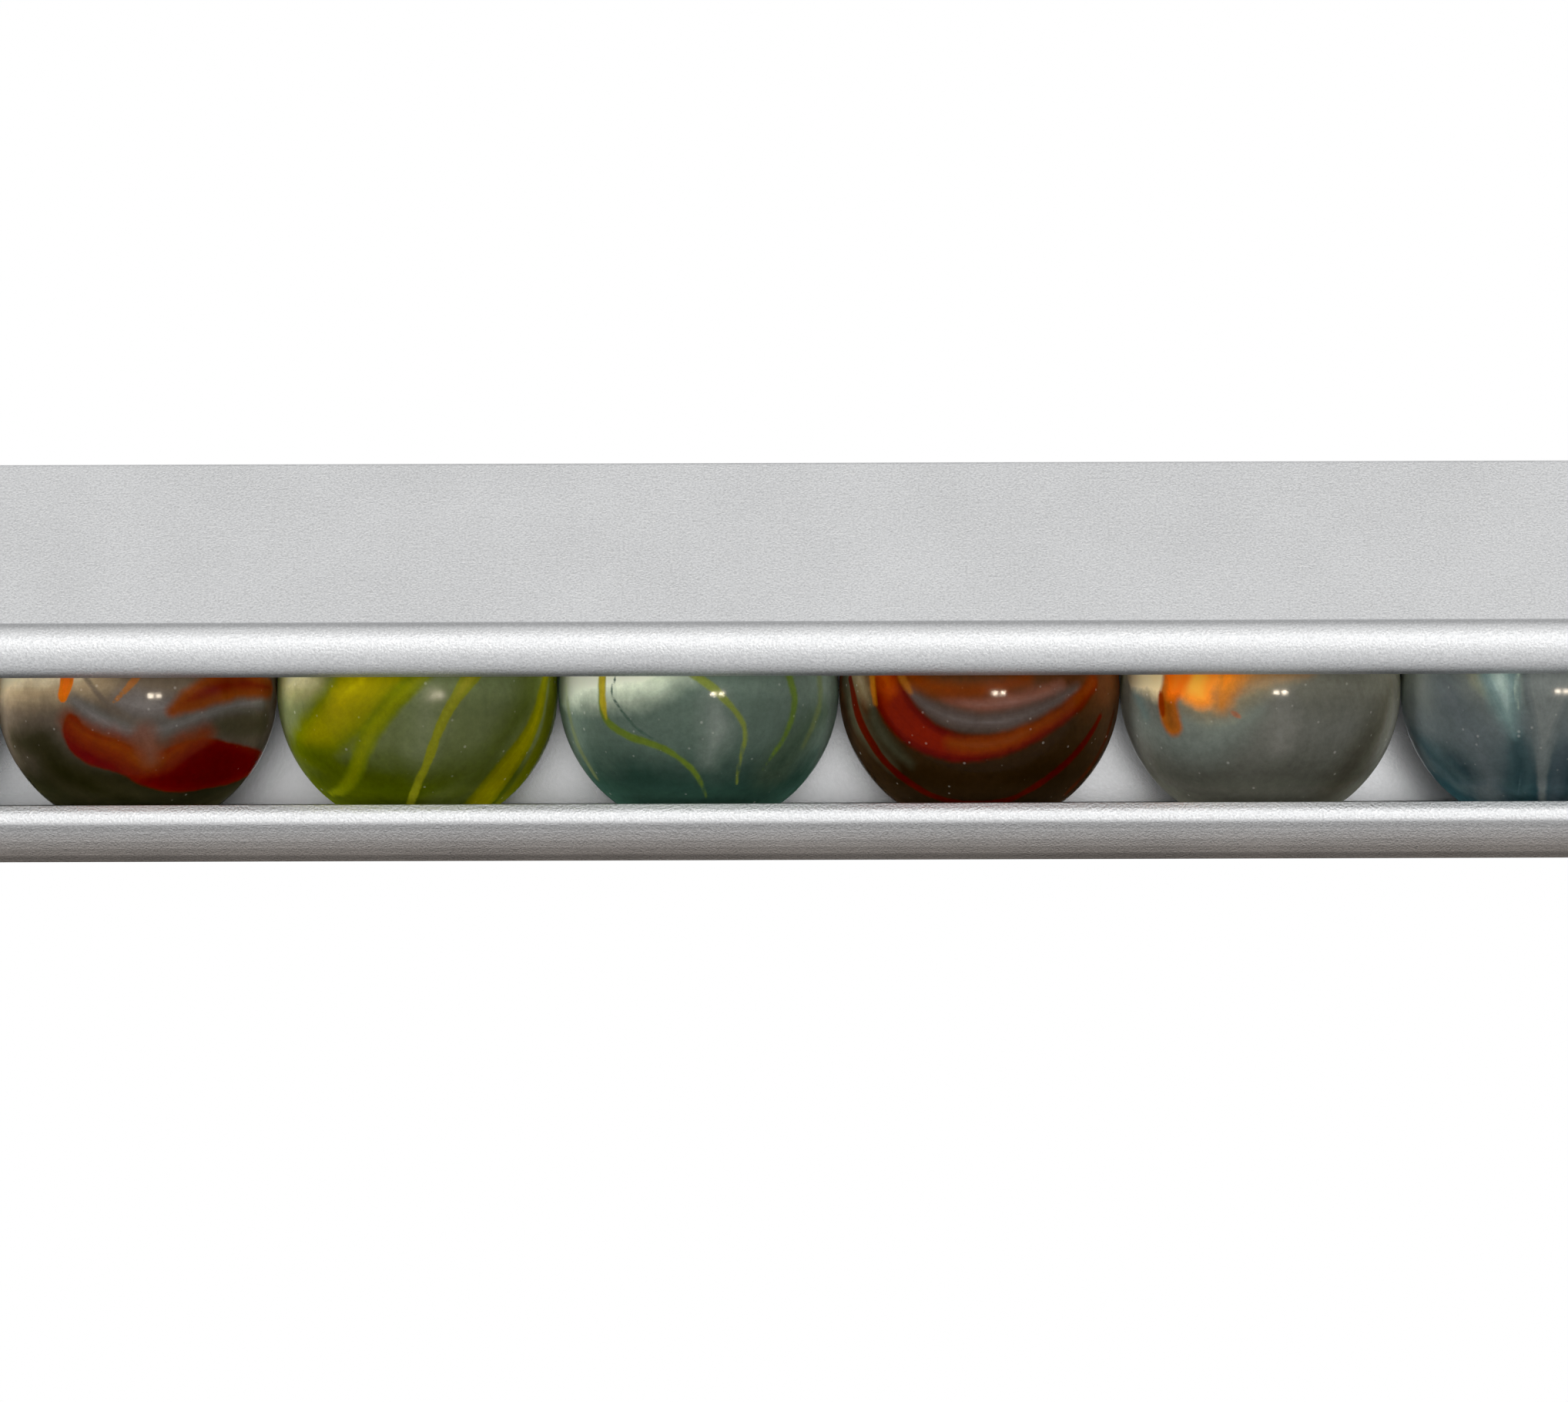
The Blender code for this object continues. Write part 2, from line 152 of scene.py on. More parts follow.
# %% Add nodes and groups
WHITE = (1, 1, 1, 1)
BLACK = (0, 0, 0, 1)
MID_GREY = (0.5, 0.5, 0.5, 1)
ACROSS = (0, 1, 1)


def emptied(holder):
    """The node tree of a material or a world, with nothing in it."""
    holder.use_nodes = True
    holder.node_tree.nodes.clear()
    return holder.node_tree


def node(tree, kind, inputs=None, **settings):
    """Adds a shader node; settings are its properties, inputs are values or links by socket."""
    made = tree.nodes.new("ShaderNode" + kind)
    for key, value in settings.items():
        setattr(made, key, value)
    for key, value in (inputs or {}).items():
        if isinstance(value, bpy.types.NodeSocket):
            tree.links.new(value, made.inputs[key])
        else:
            made.inputs[key].default_value = value
    return made


def maths(tree, operation, *values):
    """The output of one Math node."""
    return node(tree, "Math", dict(enumerate(values)), operation=operation).outputs[0]


def vector_maths(tree, operation, first, second=(0, 0, 0)):
    """The output of one Vector Math node; to SCALE, the second value is a number."""
    rows = {0: first, 3 if operation == "SCALE" else 1: second}
    made = node(tree, "VectorMath", rows, operation=operation)
    return made.outputs[1 if operation in ("LENGTH", "DOT_PRODUCT") else 0]


def ramp(tree, value, low, high, to_low=0.0, to_high=1.0):
    """A smooth step: to_low where the value is low, to_high where it is high."""
    rows = {"Value": value, "From Min": low, "From Max": high, "To Min": to_low, "To Max": to_high}
    return node(tree, "MapRange", rows, interpolation_type="SMOOTHSTEP").outputs[0]


def mixed(tree, factor, below, above, blend="MIX"):
    """Two colours mixed by a factor."""
    rows = {0: factor, 6: below, 7: above}
    return node(tree, "Mix", rows, data_type="RGBA", blend_type=blend).outputs[2]


def noise(tree, place, scale, detail=2.0, roughness=0.5):
    """The value of a noise texture, around one half."""
    rows = {"Vector": place, "Scale": scale, "Detail": detail, "Roughness": roughness}
    return node(tree, "TexNoise", rows).outputs[0]


def swing(tree, value):
    """A noise less one half, so that it swings about nought."""
    return maths(tree, "SUBTRACT", value, 0.5)


def together(tree, *values):
    """Up to three values as one vector."""
    return node(tree, "CombineXYZ", dict(enumerate(values))).outputs[0]


def stored(tree, name, output="Fac"):
    """What the mesh stores at each point under a name: a value, or with "Vector" a vector."""
    return node(tree, "Attribute", attribute_name=name).outputs[output]


def group(name, inputs, outputs):
    """A new group from (name, kind, default) and (name, kind); feed links one of its outputs."""
    made = bpy.data.node_groups.new(name, "ShaderNodeTree")
    for row_name, kind, default in inputs:
        socket = made.interface.new_socket(row_name, in_out="INPUT",
                                           socket_type="NodeSocket" + kind)
        socket.default_value = default
    for row_name, kind in outputs:
        made.interface.new_socket(row_name, in_out="OUTPUT", socket_type="NodeSocket" + kind)
    given, end = made.nodes.new("NodeGroupInput").outputs, made.nodes.new("NodeGroupOutput")

    def feed(row_name, value):
        made.links.new(value, end.inputs[row_name])

    return made, given, feed


def use(tree, name, inputs):
    """Places a group in a tree, and gives its outputs."""
    return node(tree, "Group", inputs, node_tree=bpy.data.node_groups[name]).outputs


def tone(red, green, blue):
    """A colour named by its 8-bit screen values, as the linear colour that a node wants."""
    share = np.array([red, green, blue]) / 255
    linear = np.where(share <= 0.04045, share / 12.92, ((share + 0.055) / 1.055) ** 2.4)
    return (*linear.tolist(), 1.0)


# %% [markdown]
# ## The studio
#
# The real picture is cut out on white, so no floor shows in it. A pale floor still lies below
# the rail, out of the camera's view: it catches the shadow in the other views and fades to
# white towards its rim. The undersides of the bead and the lip mirror it, and to them it is
# painted with shade that darkens steadily towards the back: a painted shadow of the rail, pale
# in front of it and dark behind it. From below it is clear, so that the underside can be looked
# at.

# %% Lay the floor
FLOOR_DROP = 120 * MM
FLOOR_FAR = 600 * MM
FLOOR_RINGS = 12
FLOOR_SIDES = 96
FLOOR_FADE = (0.35 * FLOOR_FAR, 0.9 * FLOOR_FAR)
FLOOR_TONE = tone(240, 240, 240)
MIRROR_DARK = (22 * MM, 0.02)
MIRROR_PALE = (-62 * MM, 0.85)


def quads_between(count, sides):
    """The points' numbers ring by ring, and the quads that join each ring to the next."""
    index = np.arange(count * sides).reshape(count, sides)
    around = np.roll(index, -1, axis=1)
    quads = np.stack([index[:-1], index[1:], around[1:], around[:-1]], axis=-1)
    return index.tolist(), quads.reshape(-1, 4).tolist()


radius = np.linspace(0, FLOOR_FAR, FLOOR_RINGS + 1)[1:, None]
turn = np.linspace(0, 2 * np.pi, FLOOR_SIDES, endpoint=False)
rings = np.stack([radius * np.cos(turn), radius * np.sin(turn),
                  np.full((FLOOR_RINGS, FLOOR_SIDES), -FLOOR_DROP)], axis=-1)
index, quads = quads_between(FLOOR_RINGS, FLOOR_SIDES)
floor_mesh = bpy.data.meshes.new("floor")
floor_mesh.from_pydata(rings.reshape(-1, 3).tolist(), [], index[:1] + quads)
floor = placed("floor", floor_mesh)

floor_finish = bpy.data.materials.new("floor")
tree = emptied(floor_finish)
ray = node(tree, "LightPath").outputs
place = node(tree, "TexCoord").outputs["Object"]
rim = ramp(tree, vector_maths(tree, "LENGTH", place), *FLOOR_FADE)
back = node(tree, "SeparateXYZ", {0: place}).outputs["Y"]
# Painted shadow: the floor that the metal mirrors is darkened towards the back, as if in the
# rail's shade.
mirrored_shade = ramp(tree, back, MIRROR_DARK[0], MIRROR_PALE[0], MIRROR_DARK[1], MIRROR_PALE[1])
colour = mixed(tree, ray["Is Diffuse Ray"], mirrored_shade, FLOOR_TONE)
colour = mixed(tree, ray["Is Camera Ray"], colour, FLOOR_TONE)
lit = node(tree, "BsdfDiffuse", {"Color": colour}).outputs[0]
white = node(tree, "Emission", {"Color": WHITE, "Strength": 1.0}).outputs[0]
seen = maths(tree, "MULTIPLY", rim, ray["Is Camera Ray"])
shown = node(tree, "MixShader", {0: seen, 1: lit, 2: white}).outputs[0]
clear = node(tree, "BsdfTransparent").outputs[0]
below = maths(tree, "MULTIPLY", node(tree, "NewGeometry").outputs["Backfacing"],
              ray["Is Camera Ray"])
shown = node(tree, "MixShader", {0: below, 1: shown, 2: clear}).outputs[0]
node(tree, "OutputMaterial", {"Surface": shown})
floor_mesh.materials.append(floor_finish)
print("floor", FLOOR_DROP / MM, "mm below the rail's middle")

# %% [markdown]
# The room is the world's background. It is bright in front, brightest just above the rail's
# level and to the right, where the inside of the channel mirrors it. It is dimmer behind, and
# white to the camera.

# %% Paint the room
ROOM_FRONT = (0.69, 0.686, 0.68, 1)
ROOM_WINDOW = (1.60, 1.59, 1.59, 1)
ROOM_BACK = (0.46, 0.46, 0.465, 1)
ROOM_GLOW = (0.62, 0.62, 0.625, 1)
WINDOW_RISE = 0.14
WINDOW_EDGE = (0.26, 0.08)
WINDOW_SIDE = (-0.05, 0.13)
WINDOW_REST = 0.08
BACK_EDGE = (-0.3, 0.6)

room = bpy.data.worlds.new("room")
bpy.context.scene.world = room
tree = emptied(room)
ray = node(tree, "LightPath").outputs
axis = node(tree, "SeparateXYZ", {0: node(tree, "TexCoord").outputs["Generated"]}).outputs
away = maths(tree, "ABSOLUTE", maths(tree, "SUBTRACT", axis["Z"], WINDOW_RISE))
window = maths(tree, "MULTIPLY", ramp(tree, away, *WINDOW_EDGE),
               ramp(tree, axis["X"], *WINDOW_SIDE, WINDOW_REST))
colour = mixed(tree, window, ROOM_FRONT, ROOM_WINDOW)
colour = mixed(tree, ramp(tree, axis["Y"], *BACK_EDGE), colour, ROOM_BACK)
colour = mixed(tree, ray["Is Diffuse Ray"], colour, ROOM_GLOW)
clear = maths(tree, "MAXIMUM", ray["Is Camera Ray"], ray["Is Transmission Ray"])
colour = mixed(tree, clear, colour, WHITE)
sky = node(tree, "Background", {"Color": colour, "Strength": 1.0}).outputs[0]
node(tree, "OutputWorld", {"Surface": sky})
print("room", ROOM_FRONT[0], "in front and", ROOM_WINDOW[0], "at its brightest")


# %% [markdown]
# The bead is brightest a third of the way below its top, which puts the softbox in front of the
# rail and 40 degrees up. The other lamps are linked to the glass alone. Two small warm ones low
# on the right make the pair of sparks that every marble shows: on the blasted metal lamps so
# strong would draw lines that the photograph lacks. Two level ones at the sides are seen by no
# reflection; they light the balls between the bead and the lip, where real glass would gather
# light from behind and from its neighbours.

# %% Hang the lights
LAMP_DISTANCE = 0.60
SPARK_LEVEL = -3.5
SPARK_SIZE = (0.042, 0.028)
SPARK_COLOUR = (1.0, 0.86, 0.68)
GATHER_SIZE = (0.2, 0.2)


def softbox(name, azimuth, elevation, radiance, size, distance=LAMP_DISTANCE, colour=(1, 1, 1)):
    """An area light aimed at the rail; its power follows from the radiance and its area."""
    data = bpy.data.lights.new(name, "AREA")
    data.shape = "RECTANGLE"
    data.size, data.size_y = size
    data.energy = radiance * math.pi * size[0] * size[1]
    data.color = colour
    lamp = placed(name, data)
    a, e = math.radians(azimuth), math.radians(elevation)
    away = Vector((math.sin(a) * math.cos(e), -math.cos(a) * math.cos(e), math.sin(e)))
    lamp.location = Vector((0, MARBLE_Y, MARBLE_Z)) + away * distance
    lamp.rotation_euler = away.to_track_quat("Z", "Y").to_euler()
    lamp.visible_camera = False
    return lamp


def spark_lamp(name, azimuth, radiance):
    """A small warm lamp that only the glass mirrors, and only to the eye, not to the metal."""
    lamp = softbox(name, azimuth, SPARK_LEVEL, radiance, SPARK_SIZE, colour=SPARK_COLOUR)
    lamp.visible_diffuse = False
    lamp.light_linking.receiver_collection = glass_pieces
    lamp.data.use_nodes = True
    tree = lamp.data.node_tree
    first = maths(tree, "LESS_THAN", node(tree, "LightPath").outputs["Ray Depth"], 1.5)
    tree.links.new(first, tree.nodes["Emission"].inputs["Strength"])


def gather_lamp(name, azimuth, radiance):
    """A level lamp that lights the glass from one side and shows in no reflection."""
    lamp = softbox(name, azimuth, 0, radiance, GATHER_SIZE)
    lamp.visible_glossy = False
    lamp.visible_transmission = False
    lamp.light_linking.receiver_collection = glass_pieces


glass_pieces = bpy.data.collections.new("glass_pieces")
softbox("key_softbox", azimuth=0, elevation=40, radiance=0.88, size=(0.80, 0.42), distance=0.70)
spark_lamp("spark_lamp_near", azimuth=12.0, radiance=520.0)
spark_lamp("spark_lamp_far", azimuth=18.5, radiance=440.0)
gather_lamp("gather_lamp_left", azimuth=-50, radiance=15.0)
gather_lamp("gather_lamp_right", azimuth=50, radiance=9.0)


# %% [markdown]
# ## Shapes from outlines
#
# Every hard piece here is a stack of rings with the same number of points: a section drawn out
# along X, a profile turned about an axis, or a flange whose rim is rounded ring by ring. One
# function skins such a stack. The others draw the rings from arcs and straight runs.

# %% Draw arcs and corners
ARC_STEP = math.radians(5)
LONG_RUN = 6


def arc(centre, radius, start, end):
    """Points on a circle: centre + radius (cos a, sin a) with a from start to end."""
    count = int(np.ceil(abs(end - start) / ARC_STEP - MM)) + 1
    a = np.linspace(start, end, max(2, count))
    return np.asarray(centre) + radius * np.stack([np.cos(a), np.sin(a)], axis=1)


def rounded(corner, before, after, radius):
    """A corner replaced by the arc that touches both runs: its centre lies on the bisector."""
    corner = np.asarray(corner)
    back = (before - corner) / np.linalg.norm(before - corner)
    ahead = (after - corner) / np.linalg.norm(after - corner)
    half = np.arccos(back @ ahead) / 2
    bisector = (back + ahead) / np.linalg.norm(back + ahead)
    centre = corner + bisector * radius / np.sin(half)
    first = corner + back * radius / np.tan(half) - centre
    last = corner + ahead * radius / np.tan(half) - centre
    start, end = np.arctan2(first[1], first[0]), np.arctan2(last[1], last[0])
    return arc(centre, radius, start, start + (end - start + np.pi) % (2 * np.pi) - np.pi)


def angle_about(centre, point):
    """Direction of a point from a centre."""
    return np.arctan2(point[1] - centre[1], point[0] - centre[0])


def with_support(outline, inset):
    """Adds a point just inside both ends of each long run, so its flat stays flat when shaded."""
    following = np.roll(outline, -1, axis=0)
    run = following - outline
    length = np.linalg.norm(run, axis=1, keepdims=True)
    step = inset * run / length
    points = np.stack([outline, outline + step, following - step], axis=1)
    long = length[:, 0] > LONG_RUN * inset
    return points[np.stack([np.ones(len(outline), bool), long, long], axis=1)]


# %% Skin a stack of rings
SOFT_EDGE = 30


def sharpened(mesh, degrees=SOFT_EDGE):
    """Shades a mesh as one smooth skin, but for edges that turn by more than so many degrees."""
    mesh.shade_smooth()
    mesh.set_sharp_from_angle(angle=math.radians(degrees))


def skinned(name, rings, sharp=SOFT_EDGE):
    """An object of quads between each ring and the next, with both ends closed flat."""
    index, quads = quads_between(*rings.shape[:2])
    mesh = bpy.data.meshes.new(name)
    mesh.from_pydata(rings.reshape(-1, 3).tolist(), [], quads + [index[0], index[-1]])
    solid = bmesh.new()
    solid.from_mesh(mesh)
    bmesh.ops.remove_doubles(solid, verts=solid.verts, dist=MM * MM)
    bmesh.ops.recalc_face_normals(solid, faces=solid.faces)
    solid.to_mesh(mesh)
    solid.free()
    sharpened(mesh, sharp)
    return placed(name, mesh)


def along_rail(outline, stations):
    """Rings of a section set at places along X: (x, -forward, height above the underside)."""
    rings = np.empty((len(stations), len(outline), 3))
    rings[..., 0] = np.asarray(stations)[:, None]
    rings[..., 1] = -outline[..., 0]
    rings[..., 2] = outline[..., 1] + UNDERSIDE_Z
    return rings


def square_to(axis):
    """Two unit steps u and v that are square to an axis and to each other."""
    u = Vector(axis).orthogonal().normalized()
    return np.array(u), np.array(Vector(axis).cross(u))


def circle_about(axis, sides):
    """Unit steps all round an axis: u cos a + v sin a."""
    u, v = square_to(axis)
    a = np.linspace(0, 2 * np.pi, sides, endpoint=False)[:, None]
    return np.cos(a) * u + np.sin(a) * v


def turned_rings(profile, centre, axis, sides):
    """Rings of a profile (r, h) turned about an axis: centre + axis h + r (u cos a + v sin a)."""
    out, up = np.asarray(profile).T[:, :, None, None]
    return np.array(centre) + up * np.array(axis) + out * circle_about(axis, sides)


def cut(piece, cutter, operation="DIFFERENCE"):
    """Cuts a closed shape out of another, or joins it on, for good, and removes the tool."""
    boolean = piece.modifiers.new("Cut", "BOOLEAN")
    boolean.operation = operation
    boolean.solver = "EXACT"
    boolean.object = cutter
    done = bpy.data.meshes.new_from_object(
        piece.evaluated_get(bpy.context.evaluated_depsgraph_get()))
    piece.modifiers.clear()
    piece.data = done
    bpy.data.objects.remove(cutter)


# %% [markdown]
# ## The channel
#
# The rail is one aluminium extrusion, so it is one closed outline drawn out along X: a flat
# back, a floor whose ramp rises towards it, a rounded lip with a curved underside, a hood at
# 45 degrees that ends in a round bead, and two slit tubes in the rear corners that take the end
# caps' screws. The lip isn't quite round: the die left a flat facet above its front and a
# narrow flat on its top, so its upper edge shows as a crisp line. The two wall holes are cut
# out afterwards.

# %% Draw the channel's section
hood_out = np.array([math.cos(HOOD_ANGLE), math.sin(HOOD_ANGLE)])
hood_up = np.array([-math.sin(HOOD_ANGLE), math.cos(HOOD_ANGLE)])
bead_turn = HOOD_ANGLE - math.acos((HOOD_OUTER - BEAD_RADIUS * hood_out[1]) / BEAD_REACH)
BEAD = MARBLE + BEAD_REACH * np.array([math.cos(bead_turn), math.sin(bead_turn)])
LIP = np.array([BEAD[0] - BEAD_RADIUS - TICKET_GAP - LIP_RADIUS, LIP_HEIGHT - LIP_RADIUS])
LIP_CREST = LIP + [(LIP_RADIUS - LIP_TOP * math.sin(LIP_FACET)) / math.cos(LIP_FACET), LIP_TOP]
NOSE = LIP + [LIP_RADIUS - NOSE_RADIUS, 0]
UNDER = NOSE + (UNDER_RADIUS - NOSE_RADIUS) * np.array([-math.cos(LIP_TURN), math.sin(LIP_TURN)])
corner_drop = UNDER[1] - UNDER_CORNER
corner_reach = math.sqrt((UNDER_RADIUS - UNDER_CORNER) ** 2 - corner_drop ** 2)
CORNER = UNDER + [corner_reach, -corner_drop]
CORNER_TURN = math.atan2(corner_drop, corner_reach)
PORTS = {"lower": np.array([PORT_INSET, PORT_RISE]),
         "upper": np.array([PORT_INSET, RAIL_HEIGHT - PORT_RISE])}


def hood_at(height, distance):
    """Forward place of a hood face at a height, given its distance from the marble."""
    return MARBLE[0] + (distance - (height - MARBLE[1]) * hood_out[1]) / hood_out[0]


def bead_meets(distance, radius):
    """Where a hood face that far from the marble's centre runs into the bead."""
    off = distance - (BEAD - MARBLE) @ hood_out
    return BEAD + off * hood_out + math.sqrt(radius ** 2 - off ** 2) * hood_up


def ramp_meets_port():
    """Where the ramp, going back, first touches the lower port's round wall."""
    start = np.array([MARBLE[0], FLOOR_WALL])
    along = np.array([-math.cos(RAMP_ANGLE), math.sin(RAMP_ANGLE)])
    to_port = PORTS["lower"] - start
    nearest = to_port @ along
    off = to_port @ to_port - nearest ** 2
    return start + (nearest - math.sqrt(PORT_RADIUS ** 2 - off)) * along


def port(centre, slit, start, end):
    """A screw port: round wall, slit into the bore, bore, and wall again."""
    at_wall = math.asin(PORT_SLIT / PORT_RADIUS)
    at_bore = math.asin(PORT_SLIT / PORT_BORE)
    return [arc(centre, PORT_RADIUS, start, slit - at_wall),
            arc(centre, PORT_BORE, slit - at_bore, slit + at_bore - 2 * math.pi),
            arc(centre, PORT_RADIUS, slit + at_wall, end)]


def channel_outline():
    """The section once round, from the rear edge of its underside."""
    base, top = np.array([0, 0]), np.array([0, RAIL_HEIGHT])
    inside = RAIL_HEIGHT - TOP_WALL
    brow = np.array([hood_at(RAIL_HEIGHT, HOOD_OUTER), RAIL_HEIGHT])
    brow_inside = np.array([hood_at(inside, HOOD_INNER), inside])
    lip_foot = np.array([LIP[0] - LIP_RADIUS, FLOOR_WALL])
    ramp_foot = np.array([MARBLE[0], FLOOR_WALL])
    wall_reach = math.sqrt(PORT_RADIUS ** 2 - (PORT_INSET - BACK_WALL) ** 2)
    top_reach = math.sqrt(PORT_RADIUS ** 2 - (PORT_RISE - TOP_WALL) ** 2)
    low, high = PORTS["lower"], PORTS["upper"]
    low_end = low + [BACK_WALL - PORT_INSET, wall_reach]
    high_start = high + [BACK_WALL - PORT_INSET, -wall_reach]
    high_end = high + [top_reach, PORT_RISE - TOP_WALL]
    bead_back, bead_top = bead_meets(HOOD_INNER, BEAD_RADIUS), bead_meets(HOOD_OUTER, BEAD_RADIUS)
    runs = [rounded(base, top, np.array([CORNER[0], 0]), EDGE_RADIUS)]
    runs += [arc(CORNER, UNDER_CORNER, -math.pi / 2, -CORNER_TURN)]
    runs += [arc(UNDER, UNDER_RADIUS, -CORNER_TURN, -LIP_TURN)[1:]]
    runs += [arc(NOSE, NOSE_RADIUS, -LIP_TURN, 0)[1:-1], arc(LIP, LIP_RADIUS, 0, LIP_FACET)]
    runs += [rounded(LIP_CREST, runs[-1][-1], LIP + [0, LIP_TOP], LIP_EDGE)]
    runs += [arc(LIP, LIP_RADIUS, math.pi - math.asin(LIP_TOP / LIP_RADIUS), math.pi)]
    runs += [rounded(lip_foot, LIP + [-LIP_RADIUS, 0], ramp_foot, EDGE_RADIUS), [ramp_foot]]
    runs += port(low, PORT_ANGLE, angle_about(low, ramp_meets_port()), angle_about(low, low_end))
    runs += port(high, -PORT_ANGLE, angle_about(high, high_start), angle_about(high, high_end))
    runs += [rounded(brow_inside, high_end, bead_back, EDGE_RADIUS)]
    runs += [arc(BEAD, BEAD_RADIUS, angle_about(BEAD, bead_back),
                 angle_about(BEAD, bead_top) + 2 * math.pi)]
    runs += [rounded(brow, bead_top, top, EDGE_RADIUS), rounded(top, brow, base, EDGE_RADIUS)]
    return np.concatenate([np.asarray(run) for run in runs])


section = channel_outline()
print("section", len(section), "points, front at", round(section[:, 0].max() / MM, 2), "mm")

# %% [markdown]
# The section becomes a solid with a ring at each end of the rail. Each wall hole is a turned
# shape, a countersink with a bore below it, that is cut out of the back wall.

# %% Draw out the channel and cut its wall holes
SUPPORT = 0.05 * MM
HOLE_SIDES = 48
HOLE_FROM_END = 32 * MM
HOLE_HEIGHT = 8.2 * MM
HOLE_PROFILE = [(0, 1.0), (3.3, 1.0), (3.3, 0), (2.0, -1.3), (2.0, -2.5), (0, -2.5)]


def drilled(piece, profile, mouth, axis):
    """Cuts a turned hole into a piece; its profile is in millimetres from the mouth."""
    cut(piece, skinned("hole", turned_rings(np.array(profile) * MM, mouth, axis, HOLE_SIDES)))


channel = skinned("channel_extrusion",
                  along_rail(with_support(section, SUPPORT), [-RAIL_HALF, RAIL_HALF]))
for side in (-1, 1):
    mouth = (side * (RAIL_HALF - HOLE_FROM_END), -BACK_WALL, HOLE_HEIGHT + UNDERSIDE_Z)
    drilled(channel, HOLE_PROFILE, mouth, (0, -1, 0))
sharpened(channel.data)
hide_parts("rail_channel")
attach(channel, "rail")
print("channel", len(channel.data.polygons), "faces")

# %% [markdown]
# ## Blasted and anodised aluminium
#
# The metal was blasted with fine glass beads and then anodised clear. Close up it is an even
# field of tiny dents, about an eighth of a millimetre across: each turns the surface a little,
# a few are smoother and carry a painted glint, and the tone stays even over the whole length.
# A group makes that grain from two noises, because the caps' moulded skin uses the same effect at
# another scale.

# %% Make the grain group
tree, given, feed = group(
    "Fine Grain",
    [("Size", "Float", 0.12), ("Colour", "Color", MID_GREY), ("Contrast", "Float", 0.1),
     ("Roughness", "Float", 0.4), ("Sparkle", "Float", 0.1)],
    [("Colour", "Color"), ("Roughness", "Float"), ("Height", "Float")])
place = node(tree, "TexCoord").outputs["Object"]
per_metre = maths(tree, "DIVIDE", 1 / MM, given["Size"])
dents = noise(tree, place, per_metre, 1.5, 0.6)
drift = swing(tree, noise(tree, place, maths(tree, "MULTIPLY", per_metre, 0.02), 2.0))
level = maths(tree, "MULTIPLY", swing(tree, dents), 2.0)
shade = maths(tree, "MULTIPLY_ADD", level, given["Contrast"], 1.0)
shade = maths(tree, "MULTIPLY_ADD", drift, 0.06, shade)
# Painted glint: the highest dents are painted brighter, and they are also made smoother.
smooth_specks_and_painted_glint = maths(tree, "MULTIPLY", ramp(tree, dents, 0.62, 0.72), given["Sparkle"])
feed("Colour", vector_maths(tree, "SCALE", given["Colour"], maths(tree, "ADD", shade, smooth_specks_and_painted_glint)))
rough = maths(tree, "MULTIPLY_ADD", drift, 0.12, given["Roughness"])
feed("Roughness", maths(tree, "SUBTRACT", rough, smooth_specks_and_painted_glint))
feed("Height", dents)
print("grain group", len(tree.nodes), "nodes")

# %% [markdown]
# The blasting doesn't reach the inside, where the die's smoother skin is left: the faces that
# look at the row's axis mirror the room in front, so light grey shows between the marbles.
# Painted shade darkens the crease above the bead, a line under the bead and the lip's low edge;
# a thin dark line runs along the lip, and a painted warm reflection tints the lip's low front.


# %% Finish the channel
ALUMINIUM = (0.86, 0.87, 0.88, 1)
WARM_REFLECTION = (0.92, 0.82, 0.74, 1)
INSIDE_TO_BLASTED = (0.66, 0.35)
CREASE_OFF = np.array([0.45, -0.35]) * MM
LIP_DARK_LINE_DROP = 0.41 * MM
WARM_REFLECTION_RISE = 1.1 * LIP[1]
WARM_REFLECTION_DEPTH = 1.5 * MM


def new_material(name):
    """A material with a Principled shader, and its node tree."""
    material = bpy.data.materials.new(name)
    material.use_nodes = True
    return material, material.node_tree, material.node_tree.nodes["Principled BSDF"]


def lay_grain(tree, shader, settings, strength, depth):
    """Gives a shader the grain's roughness and dents, and hands back the grain's colour."""
    skin = use(tree, "Fine Grain", settings)
    rows = {"Height": skin["Height"], "Strength": strength, "Distance": depth * MM}
    tree.links.new(node(tree, "Bump", rows).outputs[0], shader.inputs["Normal"])
    tree.links.new(skin["Roughness"], shader.inputs["Roughness"])
    return skin["Colour"]


def coated(pieces, material):
    """Gives each piece this one material."""
    for piece in pieces:
        piece.data.materials.clear()
        piece.data.materials.append(material)


def dark_line_mask(centre, reach, full, strength):
    """A mask round a line along the rail for darkened paint: none at the reach, at full strength
    nearer.
    """
    offset = vector_maths(tree, "SUBTRACT", place, (0, -centre[0], centre[1] + UNDERSIDE_Z))
    away = vector_maths(tree, "LENGTH", vector_maths(tree, "MULTIPLY", offset, ACROSS))
    return ramp(tree, away, reach * MM, full * MM, 0.0, strength)


aluminium, tree, shader = new_material("blasted_aluminium")
texture = node(tree, "TexCoord").outputs
place = texture["Object"]
to_axis = vector_maths(tree, "SUBTRACT", (0, MARBLE_Y, MARBLE_Z), place)
to_axis = vector_maths(tree, "NORMALIZE", vector_maths(tree, "MULTIPLY", to_axis, ACROSS))
facing = vector_maths(tree, "DOT_PRODUCT", to_axis, texture["Normal"])
blasted = ramp(tree, facing, *INSIDE_TO_BLASTED)
skin = lay_grain(tree, shader, {
    "Size": 0.13, "Colour": ALUMINIUM,
    "Contrast": ramp(tree, blasted, 0, 1, 0.08, 0.33),
    "Roughness": ramp(tree, blasted, 0, 1, 0.26, 0.5),
    "Sparkle": maths(tree, "MULTIPLY", blasted, 0.18)},
    ramp(tree, blasted, 0, 1, 0.05, 0.9), 0.042)
